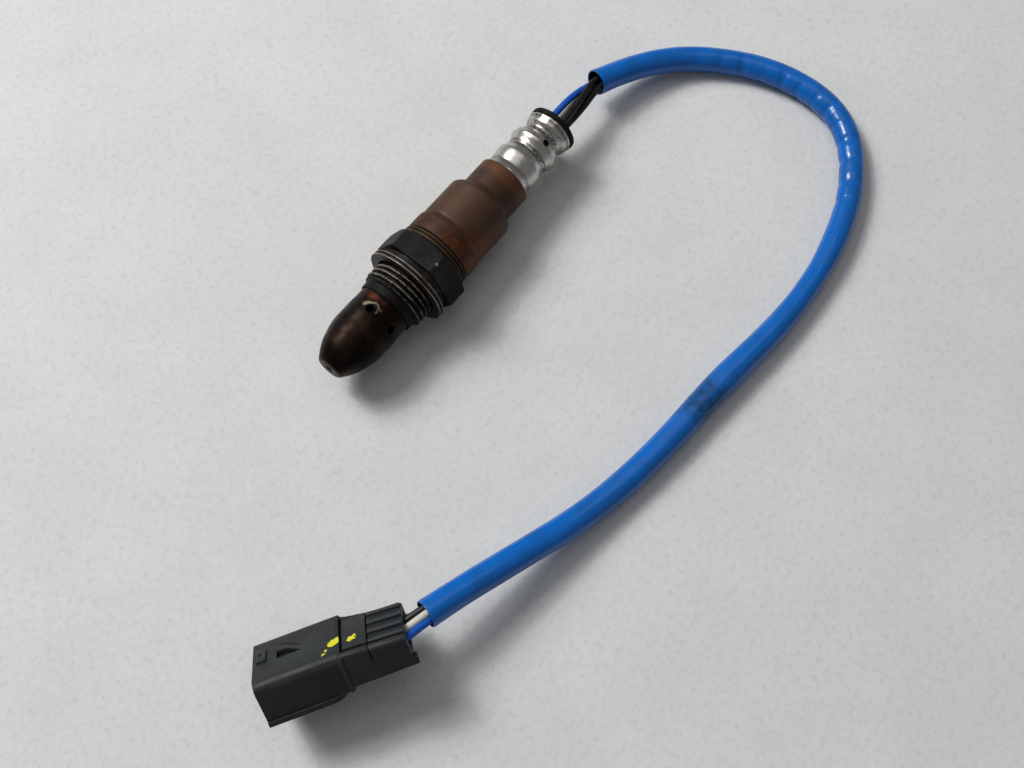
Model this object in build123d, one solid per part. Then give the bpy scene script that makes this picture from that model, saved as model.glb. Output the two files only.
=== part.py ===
"""Four-wire exhaust oxygen sensor, lying on a bench with its lead and connector.

Frame: millimetres, +Z up.  The sensor's axis is the X axis, its tip points to +X, and
the origin is on that axis in the plane of the gasket face that meets the exhaust boss.
The hexagon lies on one of its flats, so the bench is half a hexagon below the axis.
The lead leaves the sensor towards -X, loops round in the +Y half and comes back to
the connector, which leans on the bench with its mouth turned away from the lead.
"""
from build123d import *
from math import radians, sqrt, tan
import os

# ---------------------------------------------------------------- sensor body
HEX_ACROSS_FLATS = 22.0
HEX_LENGTH = 6.8
HEX_FRONT_CHAMFER_RADIUS = 12.3
HEX_CROWN_RADIUS = 10.35
HEX_CROWN_ANGLE = 35.0
SHOULDER_RING_RADIUS = 10.2
SHOULDER_RING_LENGTH = 1.8
GASKET_THICKNESS = 1.7
GASKET_WIDTH = 2.5
GASKET_BORE_CLEARANCE = 0.15
GASKET_FOLD_DEPTH = 0.4
THREAD_RADIUS = 9.0
THREAD_LENGTH = 5.0
THREAD_RELIEF_RADIUS = 8.3
THREAD_RELIEF_RUN_OUT = 0.2
THREAD_CHAMFER = 0.6
PILOT_RADIUS = 8.0
PILOT_LENGTH = 2.2
PILOT_CHAMFER = 0.2
WELD_RING_RADIUS = 10.2
WELD_RING_LENGTH = 2.3
SPIGOT_LENGTH = 3.0
SHELL_BORE_RADIUS = 6.6
SHELL_FRONT_BORE_RADIUS = 4.6
SHELL_LEDGE_DEPTH = 6.8
COVER_SOCKET_DEPTH = 3.3

# ------------------------------------------------------------- probe covers
COVER_WALL = 0.5
COVER_NECK_RADIUS = 7.5
COVER_NECK_LENGTH = 2.0
COVER_BELLY_RADIUS = 7.65
COVER_BELLY_START = 14.0
COVER_BELLY_END = 18.3
COVER_LENGTH = 29.3
COVER_TIP_RADIUS = 4.2
COVER_TIP_ROUNDING = 1.1
COVER_TIP_HOLE_RADIUS = 1.2
COVER_HOLE_RADIUS = 1.1
COVER_HOLE_STATION = 12.5
COVER_HOLES = 6
INNER_COVER_RADIUS = 5.3
INNER_COVER_LENGTH = 23.1
INNER_COVER_WALL = 0.4
INNER_COVER_HOLE_RADIUS = 0.75
INNER_COVER_HOLE_STATION = 19.6
INNER_COVER_HOLES = 6

# ------------------------------------------------- ceramic element and packing
ELEMENT_WIDTH = 4.2
ELEMENT_THICKNESS = 1.4
ELEMENT_TIP_SETBACK = 2.5
ELEMENT_INSERTION = 7.4
ELEMENT_TIP_BEVEL = 0.5
FRONT_INSULATOR_LENGTH = 2.6
FRONT_INSULATOR_NOSE = 2.8
TALC_LENGTH = 4.6
REAR_INSULATOR_LENGTH = 4.2
PACKING_RING_LENGTH = 1.2
PACKING_RING_BORE = 4.9

# -------------------------------------------------------------- rear casing
CASING_WALL = 0.6
CASING_FRONT_RADIUS = 10.0
CASING_FRONT_LENGTH = 6.0
CASING_CREASE_WIDTH = 1.4
CASING_CREASE_DEPTH = 0.42
CASING_BODY_RADIUS = 9.65
CASING_BODY_LENGTH = 11.4
CASING_SHOULDER_LENGTH = 2.2
CASING_NECK_RADIUS = 7.6
CASING_NECK_LENGTH = 8.2

# ------------------------------------------------------ breather collar, grommet
COLLAR_WALL = 0.4
COLLAR_INSERTION = 2.2
COLLAR_START_RADIUS = 6.7
COLLAR_STEP = 0.3
COLLAR_STRAIGHT = 2.6
COLLAR_BULGE_RADIUS = 7.05
COLLAR_FRONT_BULGE = 5.6
COLLAR_FRONT_GROOVE = 8.7
COLLAR_FRONT_GROOVE_RADIUS = 6.15
COLLAR_BAND_LENGTH = 0.9
COLLAR_REAR_BULGE = 12.2
COLLAR_REAR_BULGE_RADIUS = 7.2
COLLAR_REAR_GROOVE = 16.0
COLLAR_REAR_GROOVE_RADIUS = 5.5
COLLAR_FLANGE = 18.1
COLLAR_FLANGE_RADIUS = 7.1
COLLAR_LENGTH = 19.0
VENT_HOLE_RADIUS = 0.9
VENT_HOLE_STATION = 13.7
VENT_HOLES = 4
VENT_HOLE_START_ANGLE = 30.0
MEMBRANE_WALL = 0.45
MEMBRANE_LENGTH = 6.6
GROMMET_FRONT = 7.6
GROMMET_HEAD_RADIUS = 7.25
GROMMET_HEAD_LENGTH = 2.3
GROMMET_HEAD_ROUNDING = 0.7
SEAT_CLEARANCE = 0.02

# ------------------------------------------------ contact block, springs, crimps
CONTACT_BLOCK_RADIUS = 5.8
CONTACT_BLOCK_REACH = 7.4
CONTACT_BLOCK_LENGTH = 10.4
CONTACT_SLOT_WIDTH = 5.6
CONTACT_SLOT_HEIGHT = 5.6
SPRING_THICKNESS = 0.3
SPRING_WIDTH = 1.2
SPRING_OFFSET = 1.3
SPRING_CONTACT_LENGTH = 2.0
SPRING_TAIL_LENGTH = 1.6
CRIMP_WALL = 0.3
CRIMP_LENGTH = 4.0

# ------------------------------------------------------------ leads and sleeve
LEAD_RADIUS = 0.95
LEAD_SPACING = 1.7
BUNDLE_SPACING = 1.0
LEAD_STRAIGHT = 8.7
LEAD_FAN_STATION = 3.6
SLEEVE_RADIUS = 3.5
SLEEVE_WALL = 0.45

# -------------------------------------------------------------------- connector
HOOD_LENGTH = 20.4
HOOD_WIDTH = 19.0
HOOD_TOP = 10.9
HOOD_WALL = 1.3
HOOD_DEPTH = 14.4
HOOD_TOP_ROUNDING = 2.6
HOOD_FOOT_ROUNDING = 0.9
RAIL_WIDTH = 19.9
RAIL_THICKNESS = 1.2
RAIL_LENGTH = 18.6
RAIL_TAPER = 3.0
BLOCK_LENGTH = 14.8
BLOCK_WIDTH = 18.4
BLOCK_FLOOR = 1.7
BLOCK_TOP = 10.5
PAD_WIDTH = 13.4
PAD_FRONT_HEIGHT = 10.7
PAD_REAR_HEIGHT = 8.9
PAD_GAP = 1.0
CAP_LENGTH = 8.6
CAP_WALL = 1.2
CAP_SKIRT = 6.4
CAP_CLEARANCE = 0.05
CAP_RIBS = 4
CAP_RIB_WIDTH = 1.3
CAP_RIB_HEIGHT = 0.6
TRAY_FLOOR = 3.1
TRAY_TOP = 7.6
TRAY_WALL = 1.3
CAVITY_PITCH = 3.6
CAVITY_HEIGHT = 5.4
SEAL_RADIUS = 1.7
SEAL_LENGTH = 3.0
SEAL_RIB = 0.25
TERMINAL_WIDTH = 2.0
TERMINAL_HEIGHT = 1.8
TERMINAL_LENGTH = 4.0
TERMINAL_CLEARANCE = 0.1
BARREL_WALL = 0.25
BARREL_LENGTH = 3.0
TAB_WIDTH = 1.5
TAB_THICKNESS = 0.64
TAB_LENGTH = 9.5
RETAINER_THICKNESS = 1.6
LOCK_POCKET_LENGTH = 6.0
LOCK_POCKET_WIDTH = 2.2
LOCK_POCKET_DEPTH = 0.9
LOCK_POCKET_STATION = 26.4
HEEL_LENGTH = 1.0
HEEL_HEIGHT = 1.8
HEEL_WIDTH = 2.2
CONNECTOR_YAW = -31.4
CONNECTOR_PITCH = 5.6
CONNECTOR_ROLL = 47.2
CONNECTOR_CORNER_X = 94.1
CONNECTOR_CORNER_Y = 38.3

# The sleeve's route over the bench, from the sensor to the connector.
SLEEVE_ROUTE = [
    (-82.4, -0.3, -2.0),
    (-93.8, 2.8, -4.6),
    (-110.0, 14.0, -7.5),
    (-120.6, 35.2, -7.5),
    (-120.0, 57.2, -7.5),
    (-105.3, 71.2, -7.5),
    (-83.0, 78.9, -7.5),
    (-58.4, 80.7, -7.5),
    (-31.9, 77.5, -7.5),
    (-7.9, 76.5, -7.5),
    (15.0, 73.0, -7.3),
    (38.7, 66.0, -1.7),
    (52.1, 61.8, 1.3),
    (61.3, 59.4, 2.9),
]
# Where each lead lies in the bundle: across the route, and above or below it.
LEADS = {
    "lead_blue": (1, 1, 1.5),
    "lead_white": (1, -1, 0.5),
    "lead_black_1": (-1, 1, -0.5),
    "lead_black_2": (-1, -1, -1.5),
}
ROUTE_SHARE = 0.45

# ----------------------------------------------------------- derived stations
FLOOR = -HEX_ACROSS_FLATS / 2
GASKET_BORE_RADIUS = THREAD_RADIUS + GASKET_BORE_CLEARANCE
GASKET_RADIUS = GASKET_BORE_RADIUS + GASKET_WIDTH
RING_FRONT = -GASKET_THICKNESS
HEX_FRONT = RING_FRONT - SHOULDER_RING_LENGTH
HEX_REAR = HEX_FRONT - HEX_LENGTH
SHELL_REAR = HEX_REAR - WELD_RING_LENGTH
SPIGOT_REAR = SHELL_REAR - SPIGOT_LENGTH
THREAD_FRONT = THREAD_RELIEF_RUN_OUT + THREAD_LENGTH
PILOT_REAR = THREAD_FRONT + THREAD_CHAMFER
NOSE_FRONT = PILOT_REAR + PILOT_LENGTH
SOCKET_FLOOR = NOSE_FRONT - COVER_SOCKET_DEPTH
SHELL_LEDGE = NOSE_FRONT - SHELL_LEDGE_DEPTH
TALC_FRONT = SHELL_LEDGE - FRONT_INSULATOR_LENGTH
TALC_REAR = TALC_FRONT - TALC_LENGTH
PACKING_FRONT = TALC_REAR - REAR_INSULATOR_LENGTH
PACKING_REAR = PACKING_FRONT - PACKING_RING_LENGTH
CREASE_STATION = SHELL_REAR - CASING_FRONT_LENGTH
SHOULDER_FRONT = CREASE_STATION - CASING_BODY_LENGTH
SHOULDER_REAR = SHOULDER_FRONT - CASING_SHOULDER_LENGTH
CASING_REAR = SHOULDER_REAR - CASING_NECK_LENGTH
COLLAR_REAR = CASING_REAR - COLLAR_LENGTH
GROMMET_START = CASING_REAR - GROMMET_FRONT
GROMMET_END = COLLAR_REAR - GROMMET_HEAD_LENGTH
MEMBRANE_RADIUS = COLLAR_FRONT_GROOVE_RADIUS - COLLAR_WALL - SEAT_CLEARANCE
CONTACT_BLOCK_FRONT = CASING_REAR + CONTACT_BLOCK_REACH
CONTACT_BLOCK_REAR = CONTACT_BLOCK_FRONT - CONTACT_BLOCK_LENGTH
ELEMENT_TIP_STATION = INNER_COVER_LENGTH - ELEMENT_TIP_SETBACK
ELEMENT_TAIL_STATION = CONTACT_BLOCK_FRONT - ELEMENT_INSERTION
CRIMP_FRONT = CONTACT_BLOCK_REAR
CRIMP_REAR = CRIMP_FRONT - CRIMP_LENGTH
LEAD_START = CRIMP_FRONT - SPRING_TAIL_LENGTH / 2
LEAD_BEND_STATION = GROMMET_END - LEAD_STRAIGHT
CONNECTOR_LENGTH = BLOCK_LENGTH + HOOD_LENGTH
HOOD_FLOOR = CONNECTOR_LENGTH - HOOD_DEPTH


# --------------------------------------------------------------------- helpers
def turned(corners):
    """Solid of revolution about the sensor's axis, from (station, radius) corners."""
    outline = Polyline(*[(x, 0, r) for x, r in corners], close=True)
    return revolve(make_face(outline), Axis.X)


def tube(x_front, x_rear, outer, inner):
    """Plain tube on the sensor's axis."""
    return turned([(x_front, inner), (x_front, outer), (x_rear, outer), (x_rear, inner)])


def bar(x_front, x_rear, width, height, y=0.0, z=0.0):
    """Rectangular bar along the sensor's axis."""
    return Pos((x_front + x_rear) / 2, y, z) * Box(abs(x_front - x_rear), width, height)


def radial_drills(station, radius, count, reach, start_angle=0.0):
    """Round drills standing square to the axis, spaced evenly from the +Z direction."""
    drill = Pos(station, 0, reach / 2) * Cylinder(radius, reach)
    return [Rot(start_angle + i * 360 / count, 0, 0) * drill for i in range(count)]


def block(x_low, x_high, y_low, y_high, z_low, z_high):
    """Box between six planes of the connector's own frame."""
    centre = Pos((x_low + x_high) / 2, (y_low + y_high) / 2, (z_low + z_high) / 2)
    return centre * Box(x_high - x_low, y_high - y_low, z_high - z_low)


# ----------------------------------------------------------------- sensor body
def make_shell():
    """Steel shell: hexagon, threaded shank with its pilot, probe socket and rear weld ring."""
    casing_bore = CASING_FRONT_RADIUS - CASING_WALL
    core = (SHELL_BORE_RADIUS + SHOULDER_RING_RADIUS) / 2
    body = turned([
        (NOSE_FRONT, COVER_NECK_RADIUS),
        (NOSE_FRONT, PILOT_RADIUS - PILOT_CHAMFER),
        (NOSE_FRONT - PILOT_CHAMFER, PILOT_RADIUS),
        (PILOT_REAR, PILOT_RADIUS),
        (THREAD_FRONT, THREAD_RADIUS),
        (THREAD_RELIEF_RUN_OUT, THREAD_RADIUS),
        (THREAD_RELIEF_RUN_OUT, THREAD_RELIEF_RADIUS),
        (RING_FRONT, THREAD_RELIEF_RADIUS),
        (RING_FRONT, SHOULDER_RING_RADIUS),
        (HEX_FRONT, SHOULDER_RING_RADIUS),
        (HEX_FRONT, core),
        (HEX_REAR, core),
        (HEX_REAR, WELD_RING_RADIUS),
        (SHELL_REAR, WELD_RING_RADIUS),
        (SHELL_REAR, casing_bore),
        (SPIGOT_REAR, casing_bore),
        (SPIGOT_REAR, SHELL_BORE_RADIUS),
        (SHELL_LEDGE, SHELL_BORE_RADIUS),
        (SHELL_LEDGE, SHELL_FRONT_BORE_RADIUS),
        (SOCKET_FLOOR, SHELL_FRONT_BORE_RADIUS),
        (SOCKET_FLOOR, COVER_NECK_RADIUS),
    ])
    flats = RegularPolygon(HEX_ACROSS_FLATS / 2, 6, major_radius=False)
    nut = extrude(Plane((HEX_REAR, 0, 0), x_dir=(0, 1, 0), z_dir=(1, 0, 0)) * flats, HEX_LENGTH)
    corner = HEX_ACROSS_FLATS / sqrt(3) + 1
    front_slope = (corner - HEX_FRONT_CHAMFER_RADIUS) * tan(radians(30))
    crown_slope = (corner - HEX_CROWN_RADIUS) * tan(radians(HEX_CROWN_ANGLE))
    crown = turned([
        (HEX_FRONT, 0),
        (HEX_FRONT, HEX_FRONT_CHAMFER_RADIUS),
        (HEX_FRONT - front_slope, corner),
        (HEX_REAR + crown_slope, corner),
        (HEX_REAR, HEX_CROWN_RADIUS),
        (HEX_REAR, 0),
    ])
    bore = Plane((HEX_REAR, 0, 0), z_dir=(1, 0, 0)) * Circle((SHELL_BORE_RADIUS + core) / 2)
    nut = (nut & crown) - extrude(bore, HEX_LENGTH)
    return body + nut


def make_gasket():
    """Folded sheet gasket, crushed on the shank, with the folds showing on its rim."""
    bore = GASKET_BORE_RADIUS
    fold = GASKET_RADIUS - GASKET_FOLD_DEPTH
    third = GASKET_THICKNESS / 3
    corners = [(0, bore), (0, fold)]
    for layer in range(3):
        front = -layer * third
        corners += [(front - third * 0.22, GASKET_RADIUS), (front - third * 0.78, GASKET_RADIUS)]
        corners += [(front - third, fold)]
    return turned(corners + [(RING_FRONT, bore)])


def cover_outline(shift):
    """Outer cover's profile edges, moved inwards by shift, from its root to its tip."""
    neck = COVER_NECK_RADIUS - shift
    belly = COVER_BELLY_RADIUS - shift
    tip = COVER_TIP_RADIUS - shift
    neck_end = NOSE_FRONT + COVER_NECK_LENGTH
    cone_end = COVER_LENGTH - COVER_TIP_ROUNDING - shift
    middle = (COVER_BELLY_END + cone_end) / 2
    bow = (belly + tip) / 2 + 0.16 * (belly - tip)
    front = COVER_LENGTH - shift
    flat = tip - COVER_TIP_ROUNDING
    return [
        Line((SOCKET_FLOOR, 0, neck), (neck_end, 0, neck)),
        Spline((neck_end, 0, neck), (COVER_BELLY_START, 0, belly), tangents=[(1, 0, 0), (1, 0, 0)]),
        Line((COVER_BELLY_START, 0, belly), (COVER_BELLY_END, 0, belly)),
        Spline((COVER_BELLY_END, 0, belly), (middle, 0, bow), (cone_end, 0, tip)),
        ThreePointArc(
            (cone_end, 0, tip),
            (cone_end + 0.66 * (front - cone_end), 0, flat + 0.66 * (tip - flat)),
            (front, 0, flat),
        ),
        Line((front, 0, flat), (front, 0, COVER_TIP_HOLE_RADIUS)),
    ]


def make_outer_cover():
    """Bullet-shaped outer cover with a ring of gas holes and one hole in its tip."""
    outside = cover_outline(0.0)
    inside = cover_outline(COVER_WALL)
    root = Line((SOCKET_FLOOR, 0, COVER_NECK_RADIUS), (SOCKET_FLOOR, 0, COVER_NECK_RADIUS - COVER_WALL))
    lip = Line((COVER_LENGTH, 0, COVER_TIP_HOLE_RADIUS), (COVER_LENGTH - COVER_WALL, 0, COVER_TIP_HOLE_RADIUS))
    cover = revolve(make_face(outside + [lip] + inside + [root]), Axis.X)
    return cover - radial_drills(COVER_HOLE_STATION, COVER_HOLE_RADIUS, COVER_HOLES, COVER_BELLY_RADIUS + 1)


def make_inner_cover():
    """Inner cup over the element, flared at its root and drilled near its end."""
    root = COVER_NECK_RADIUS - COVER_WALL
    inner = INNER_COVER_RADIUS - INNER_COVER_WALL
    flare = SOCKET_FLOOR + INNER_COVER_WALL
    end = INNER_COVER_LENGTH
    shoulder = end - 1.2
    cup = turned([
        (SOCKET_FLOOR, inner),
        (SOCKET_FLOOR, root),
        (flare, root),
        (flare + 0.4, INNER_COVER_RADIUS),
        (shoulder, INNER_COVER_RADIUS),
        (end, INNER_COVER_RADIUS - 1.2),
        (end, 1.0),
        (end - INNER_COVER_WALL, 1.0),
        (end - INNER_COVER_WALL, INNER_COVER_RADIUS - 1.2 - 0.2),
        (shoulder - 0.2, inner),
    ])
    return cup - radial_drills(
        INNER_COVER_HOLE_STATION, INNER_COVER_HOLE_RADIUS, INNER_COVER_HOLES, INNER_COVER_RADIUS + 1, 30)


def make_element():
    """Flat zirconia sensing element, bevelled at its hot end."""
    blade = bar(ELEMENT_TIP_STATION, ELEMENT_TAIL_STATION, ELEMENT_WIDTH, ELEMENT_THICKNESS)
    return chamfer(blade.faces().sort_by(Axis.X)[-1].edges(), ELEMENT_TIP_BEVEL)


def element_slot(x_front, x_rear):
    return bar(x_front, x_rear, ELEMENT_WIDTH, ELEMENT_THICKNESS)


def make_front_insulator():
    """Stepped ceramic that seats on the shell's ledge and steadies the element."""
    nose = SHELL_LEDGE + FRONT_INSULATOR_NOSE
    body = turned([
        (nose, 0),
        (nose, SHELL_FRONT_BORE_RADIUS),
        (SHELL_LEDGE, SHELL_FRONT_BORE_RADIUS),
        (SHELL_LEDGE, SHELL_BORE_RADIUS),
        (TALC_FRONT, SHELL_BORE_RADIUS),
        (TALC_FRONT, 0),
    ])
    return body - element_slot(nose + 1, TALC_FRONT - 1)


def packing_slug(x_front, x_rear):
    """Round slug that fills the shell's bore round the element."""
    slug = turned([(x_front, 0), (x_front, SHELL_BORE_RADIUS), (x_rear, SHELL_BORE_RADIUS), (x_rear, 0)])
    return slug - element_slot(x_front + 1, x_rear - 1)


def make_packing_ring():
    return tube(PACKING_FRONT, PACKING_REAR, SHELL_BORE_RADIUS, PACKING_RING_BORE)


# ----------------------------------------------------------------- rear casing
def casing_outline(shift):
    """Casing's stepped profile moved inwards by shift, from its front to its rear."""
    front = CASING_FRONT_RADIUS - shift
    body = CASING_BODY_RADIUS - shift
    neck = CASING_NECK_RADIUS - shift
    half = CASING_CREASE_WIDTH / 2
    crease = front - CASING_CREASE_DEPTH
    bend = CASING_SHOULDER_LENGTH * 0.55
    return [
        Line((SHELL_REAR, 0, front), (CREASE_STATION + half, 0, front)),
        Spline((CREASE_STATION + half, 0, front), (CREASE_STATION, 0, crease),
               (CREASE_STATION - half, 0, body), tangents=[(-1, 0, 0), (-1, 0, 0)]),
        Line((CREASE_STATION - half, 0, body), (SHOULDER_FRONT, 0, body)),
        Spline((SHOULDER_FRONT, 0, body), (SHOULDER_FRONT - bend, 0, (body + neck) / 2),
               (SHOULDER_REAR, 0, neck), tangents=[(-1, 0, 0), (-1, 0, 0)]),
        Line((SHOULDER_REAR, 0, neck), (CASING_REAR, 0, neck)),
    ]


def make_casing():
    """Deep-drawn rear casing, stepped down to the neck that holds the collar."""
    front = Line((SHELL_REAR, 0, CASING_FRONT_RADIUS), (SHELL_REAR, 0, CASING_FRONT_RADIUS - CASING_WALL))
    rear = Line((CASING_REAR, 0, CASING_NECK_RADIUS), (CASING_REAR, 0, CASING_NECK_RADIUS - CASING_WALL))
    return revolve(make_face(casing_outline(0.0) + [rear] + casing_outline(CASING_WALL) + [front]), Axis.X)


# ------------------------------------------------------------ breather collar
def collar_outline(shift):
    """Collar's rolled profile moved inwards by shift, from inside the casing to its flange."""
    def at(distance, radius):
        return (CASING_REAR - distance, 0, radius - shift)

    back = (-1, 0, 0)
    seat = CASING_NECK_RADIUS - CASING_WALL
    groove_end = COLLAR_FRONT_GROOVE + COLLAR_BAND_LENGTH
    neck = at(COLLAR_STRAIGHT, COLLAR_START_RADIUS)
    front_bulge = at(COLLAR_FRONT_BULGE, COLLAR_BULGE_RADIUS)
    front_groove = at(COLLAR_FRONT_GROOVE, COLLAR_FRONT_GROOVE_RADIUS)
    band = at(groove_end, COLLAR_FRONT_GROOVE_RADIUS)
    rear_bulge = at(COLLAR_REAR_BULGE, COLLAR_REAR_BULGE_RADIUS)
    rear_groove = at(COLLAR_REAR_GROOVE, COLLAR_REAR_GROOVE_RADIUS)
    flange = at(COLLAR_FLANGE, COLLAR_FLANGE_RADIUS)
    return [
        Line(at(-COLLAR_INSERTION, seat), at(0, seat)),
        Line(at(0, seat), at(COLLAR_STEP, COLLAR_START_RADIUS)),
        Line(at(COLLAR_STEP, COLLAR_START_RADIUS), neck),
        Spline(neck, front_bulge, tangents=[back, back]),
        Spline(front_bulge, front_groove, tangents=[back, (-1, 0, -0.5)]),
        Line(front_groove, band),
        Spline(band, rear_bulge, tangents=[(-1, 0, 0.5), back]),
        Spline(rear_bulge, rear_groove, tangents=[back, (-1, 0, -0.6)]),
        Spline(rear_groove, flange, tangents=[(-1, 0, 0.6), (-0.5, 0, 1)]),
        Line(flange, at(COLLAR_LENGTH, COLLAR_FLANGE_RADIUS)),
    ]


def make_collar():
    """Rolled steel collar with two bulges, vent holes and a flared rear flange."""
    front_top = collar_outline(0.0)[0] @ 0
    rear_top = collar_outline(0.0)[-1] @ 1
    drop = Vector(0, 0, -COLLAR_WALL)
    ends = [Line(front_top, front_top + drop), Line(rear_top, rear_top + drop)]
    collar = revolve(make_face(collar_outline(0.0) + collar_outline(COLLAR_WALL) + ends), Axis.X)
    return collar - radial_drills(
        CASING_REAR - VENT_HOLE_STATION, VENT_HOLE_RADIUS, VENT_HOLES,
        COLLAR_REAR_BULGE_RADIUS + 1, VENT_HOLE_START_ANGLE)


def make_membrane():
    """Porous tube under the vent holes, nipped by the collar's front groove."""
    return tube(GROMMET_START, GROMMET_START - MEMBRANE_LENGTH, MEMBRANE_RADIUS, MEMBRANE_RADIUS - MEMBRANE_WALL)


def lead_places():
    """Each lead's name with its place across the sensor's axis."""
    return {name: (-side * LEAD_SPACING, up * LEAD_SPACING) for name, (side, up, _) in LEADS.items()}


def make_grommet():
    """Rubber plug gripped by the collar, with four lead holes and a round head."""
    core = MEMBRANE_RADIUS - MEMBRANE_WALL
    waist = COLLAR_REAR_GROOVE_RADIUS - COLLAR_WALL - SEAT_CLEARANCE
    plug = turned([
        (GROMMET_START, 0),
        (GROMMET_START, core),
        (GROMMET_START - MEMBRANE_LENGTH, core),
        (GROMMET_START - MEMBRANE_LENGTH, waist),
        (COLLAR_REAR, waist),
        (COLLAR_REAR, GROMMET_HEAD_RADIUS),
        (GROMMET_END + GROMMET_HEAD_ROUNDING, GROMMET_HEAD_RADIUS),
        (GROMMET_END, GROMMET_HEAD_RADIUS - GROMMET_HEAD_ROUNDING),
        (GROMMET_END, 0),
    ])
    length = GROMMET_START - GROMMET_END + 2
    hole = Rot(0, 90, 0) * Cylinder(LEAD_RADIUS, length)
    middle = (GROMMET_START + GROMMET_END) / 2
    return plug - [Pos(middle, y, z) * hole for y, z in lead_places().values()]


# ------------------------------------------------------------- contact block
def make_contact_block():
    """Ceramic block that holds the contact springs against the element."""
    body = turned([
        (CONTACT_BLOCK_FRONT, 0),
        (CONTACT_BLOCK_FRONT, CONTACT_BLOCK_RADIUS),
        (CONTACT_BLOCK_REAR, CONTACT_BLOCK_RADIUS),
        (CONTACT_BLOCK_REAR, 0),
    ])
    slot = bar(CONTACT_BLOCK_FRONT + 1, CONTACT_BLOCK_REAR - 1, CONTACT_SLOT_WIDTH, CONTACT_SLOT_HEIGHT)
    return body - slot


def make_spring(side, up):
    """Bent strip that presses on the element and runs back to its crimp."""
    touch = ELEMENT_THICKNESS / 2
    wall = CONTACT_SLOT_HEIGHT / 2
    tail = wall - SPRING_THICKNESS
    mouth = CONTACT_BLOCK_FRONT
    press = mouth - 2.4
    release = press - SPRING_CONTACT_LENGTH
    line = [
        (mouth, wall - SPRING_THICKNESS),
        (press, touch),
        (release, touch),
        (release - 2.2, tail),
        (CRIMP_FRONT, tail),
    ]
    above = [(x, z + SPRING_THICKNESS) for x, z in reversed(line)]
    face = make_face(Polyline(*[(x, 0, z * up) for x, z in line + above], close=True))
    strip = extrude(face, SPRING_WIDTH / 2, dir=(0, 1, 0), both=True)
    return Pos(0, side * SPRING_OFFSET, 0) * strip


def make_crimp(y, z):
    """Barrel closed on the end of one lead."""
    barrel = tube(CRIMP_FRONT, CRIMP_REAR, LEAD_RADIUS + CRIMP_WALL, LEAD_RADIUS)
    web = turned([
        (CRIMP_FRONT, 0),
        (CRIMP_FRONT, LEAD_RADIUS + CRIMP_WALL),
        (LEAD_START, LEAD_RADIUS + CRIMP_WALL),
        (LEAD_START, 0),
    ])
    return Pos(0, y, z) * (barrel + web)


def make_clip():
    """Sprung ring that centres the contact block in the collar."""
    bore = COLLAR_START_RADIUS - COLLAR_WALL
    return tube(CASING_REAR - COLLAR_STEP, CASING_REAR - COLLAR_STRAIGHT,
                bore - SEAT_CLEARANCE, CONTACT_BLOCK_RADIUS)


# ------------------------------------------------------------------- connector
def connector_location():
    """Where the connector lies: turned, dipped and rolled about its low front corner."""
    turn = Location((0, 0, 0), (0, 0, CONNECTOR_YAW))
    dip = Location((0, 0, 0), (0, CONNECTOR_PITCH, 0))
    roll = Location((0, 0, 0), (CONNECTOR_ROLL, 0, 0))
    pose = turn * dip * roll
    corner = (pose * Pos(CONNECTOR_LENGTH, -RAIL_WIDTH / 2, 0)).position
    corner_place = Vector(CONNECTOR_CORNER_X, CONNECTOR_CORNER_Y, FLOOR)
    return Location(corner_place - corner) * pose


def cavity_places():
    """Each lead's name with its cavity's place across the connector."""
    return {name: row * CAVITY_PITCH for name, (_, _, row) in LEADS.items()}


def rounded_bar(x_low, x_high, width, z_low, z_high, top_radius, foot_radius):
    """Bar along the connector with rounded long edges."""
    shape = block(x_low, x_high, -width / 2, width / 2, z_low, z_high)
    long_edges = shape.edges().filter_by(Axis.X).sort_by(Axis.Z)
    shape = fillet(long_edges[2:], top_radius)
    long_edges = shape.edges().filter_by(Axis.X).sort_by(Axis.Z)
    return fillet(long_edges[:2], foot_radius)


def sloped_pad(x_low, x_high, width, base, sunk=0.0):
    """Central pad whose top falls from the hood towards the leads."""
    fall = (PAD_FRONT_HEIGHT - PAD_REAR_HEIGHT) / BLOCK_LENGTH
    low = PAD_REAR_HEIGHT + fall * x_low - sunk
    high = PAD_REAR_HEIGHT + fall * x_high - sunk
    side = Polyline((x_low, 0, base), (x_high, 0, base), (x_high, 0, high), (x_low, 0, low), close=True)
    return extrude(make_face(side), width / 2, dir=(0, 1, 0), both=True)


def lock_pocket():
    """Wedge-shaped pocket in the hood's top, pointed towards the leads."""
    front = LOCK_POCKET_STATION + LOCK_POCKET_LENGTH / 2
    rear = LOCK_POCKET_STATION - LOCK_POCKET_LENGTH / 2
    wide = LOCK_POCKET_WIDTH / 2
    wedge = make_face(Polyline((front, -wide), (front, wide), (rear, wide), close=True))
    return extrude(Pos(0, 0, HOOD_TOP - LOCK_POCKET_DEPTH) * wedge, LOCK_POCKET_DEPTH + 1)


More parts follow.
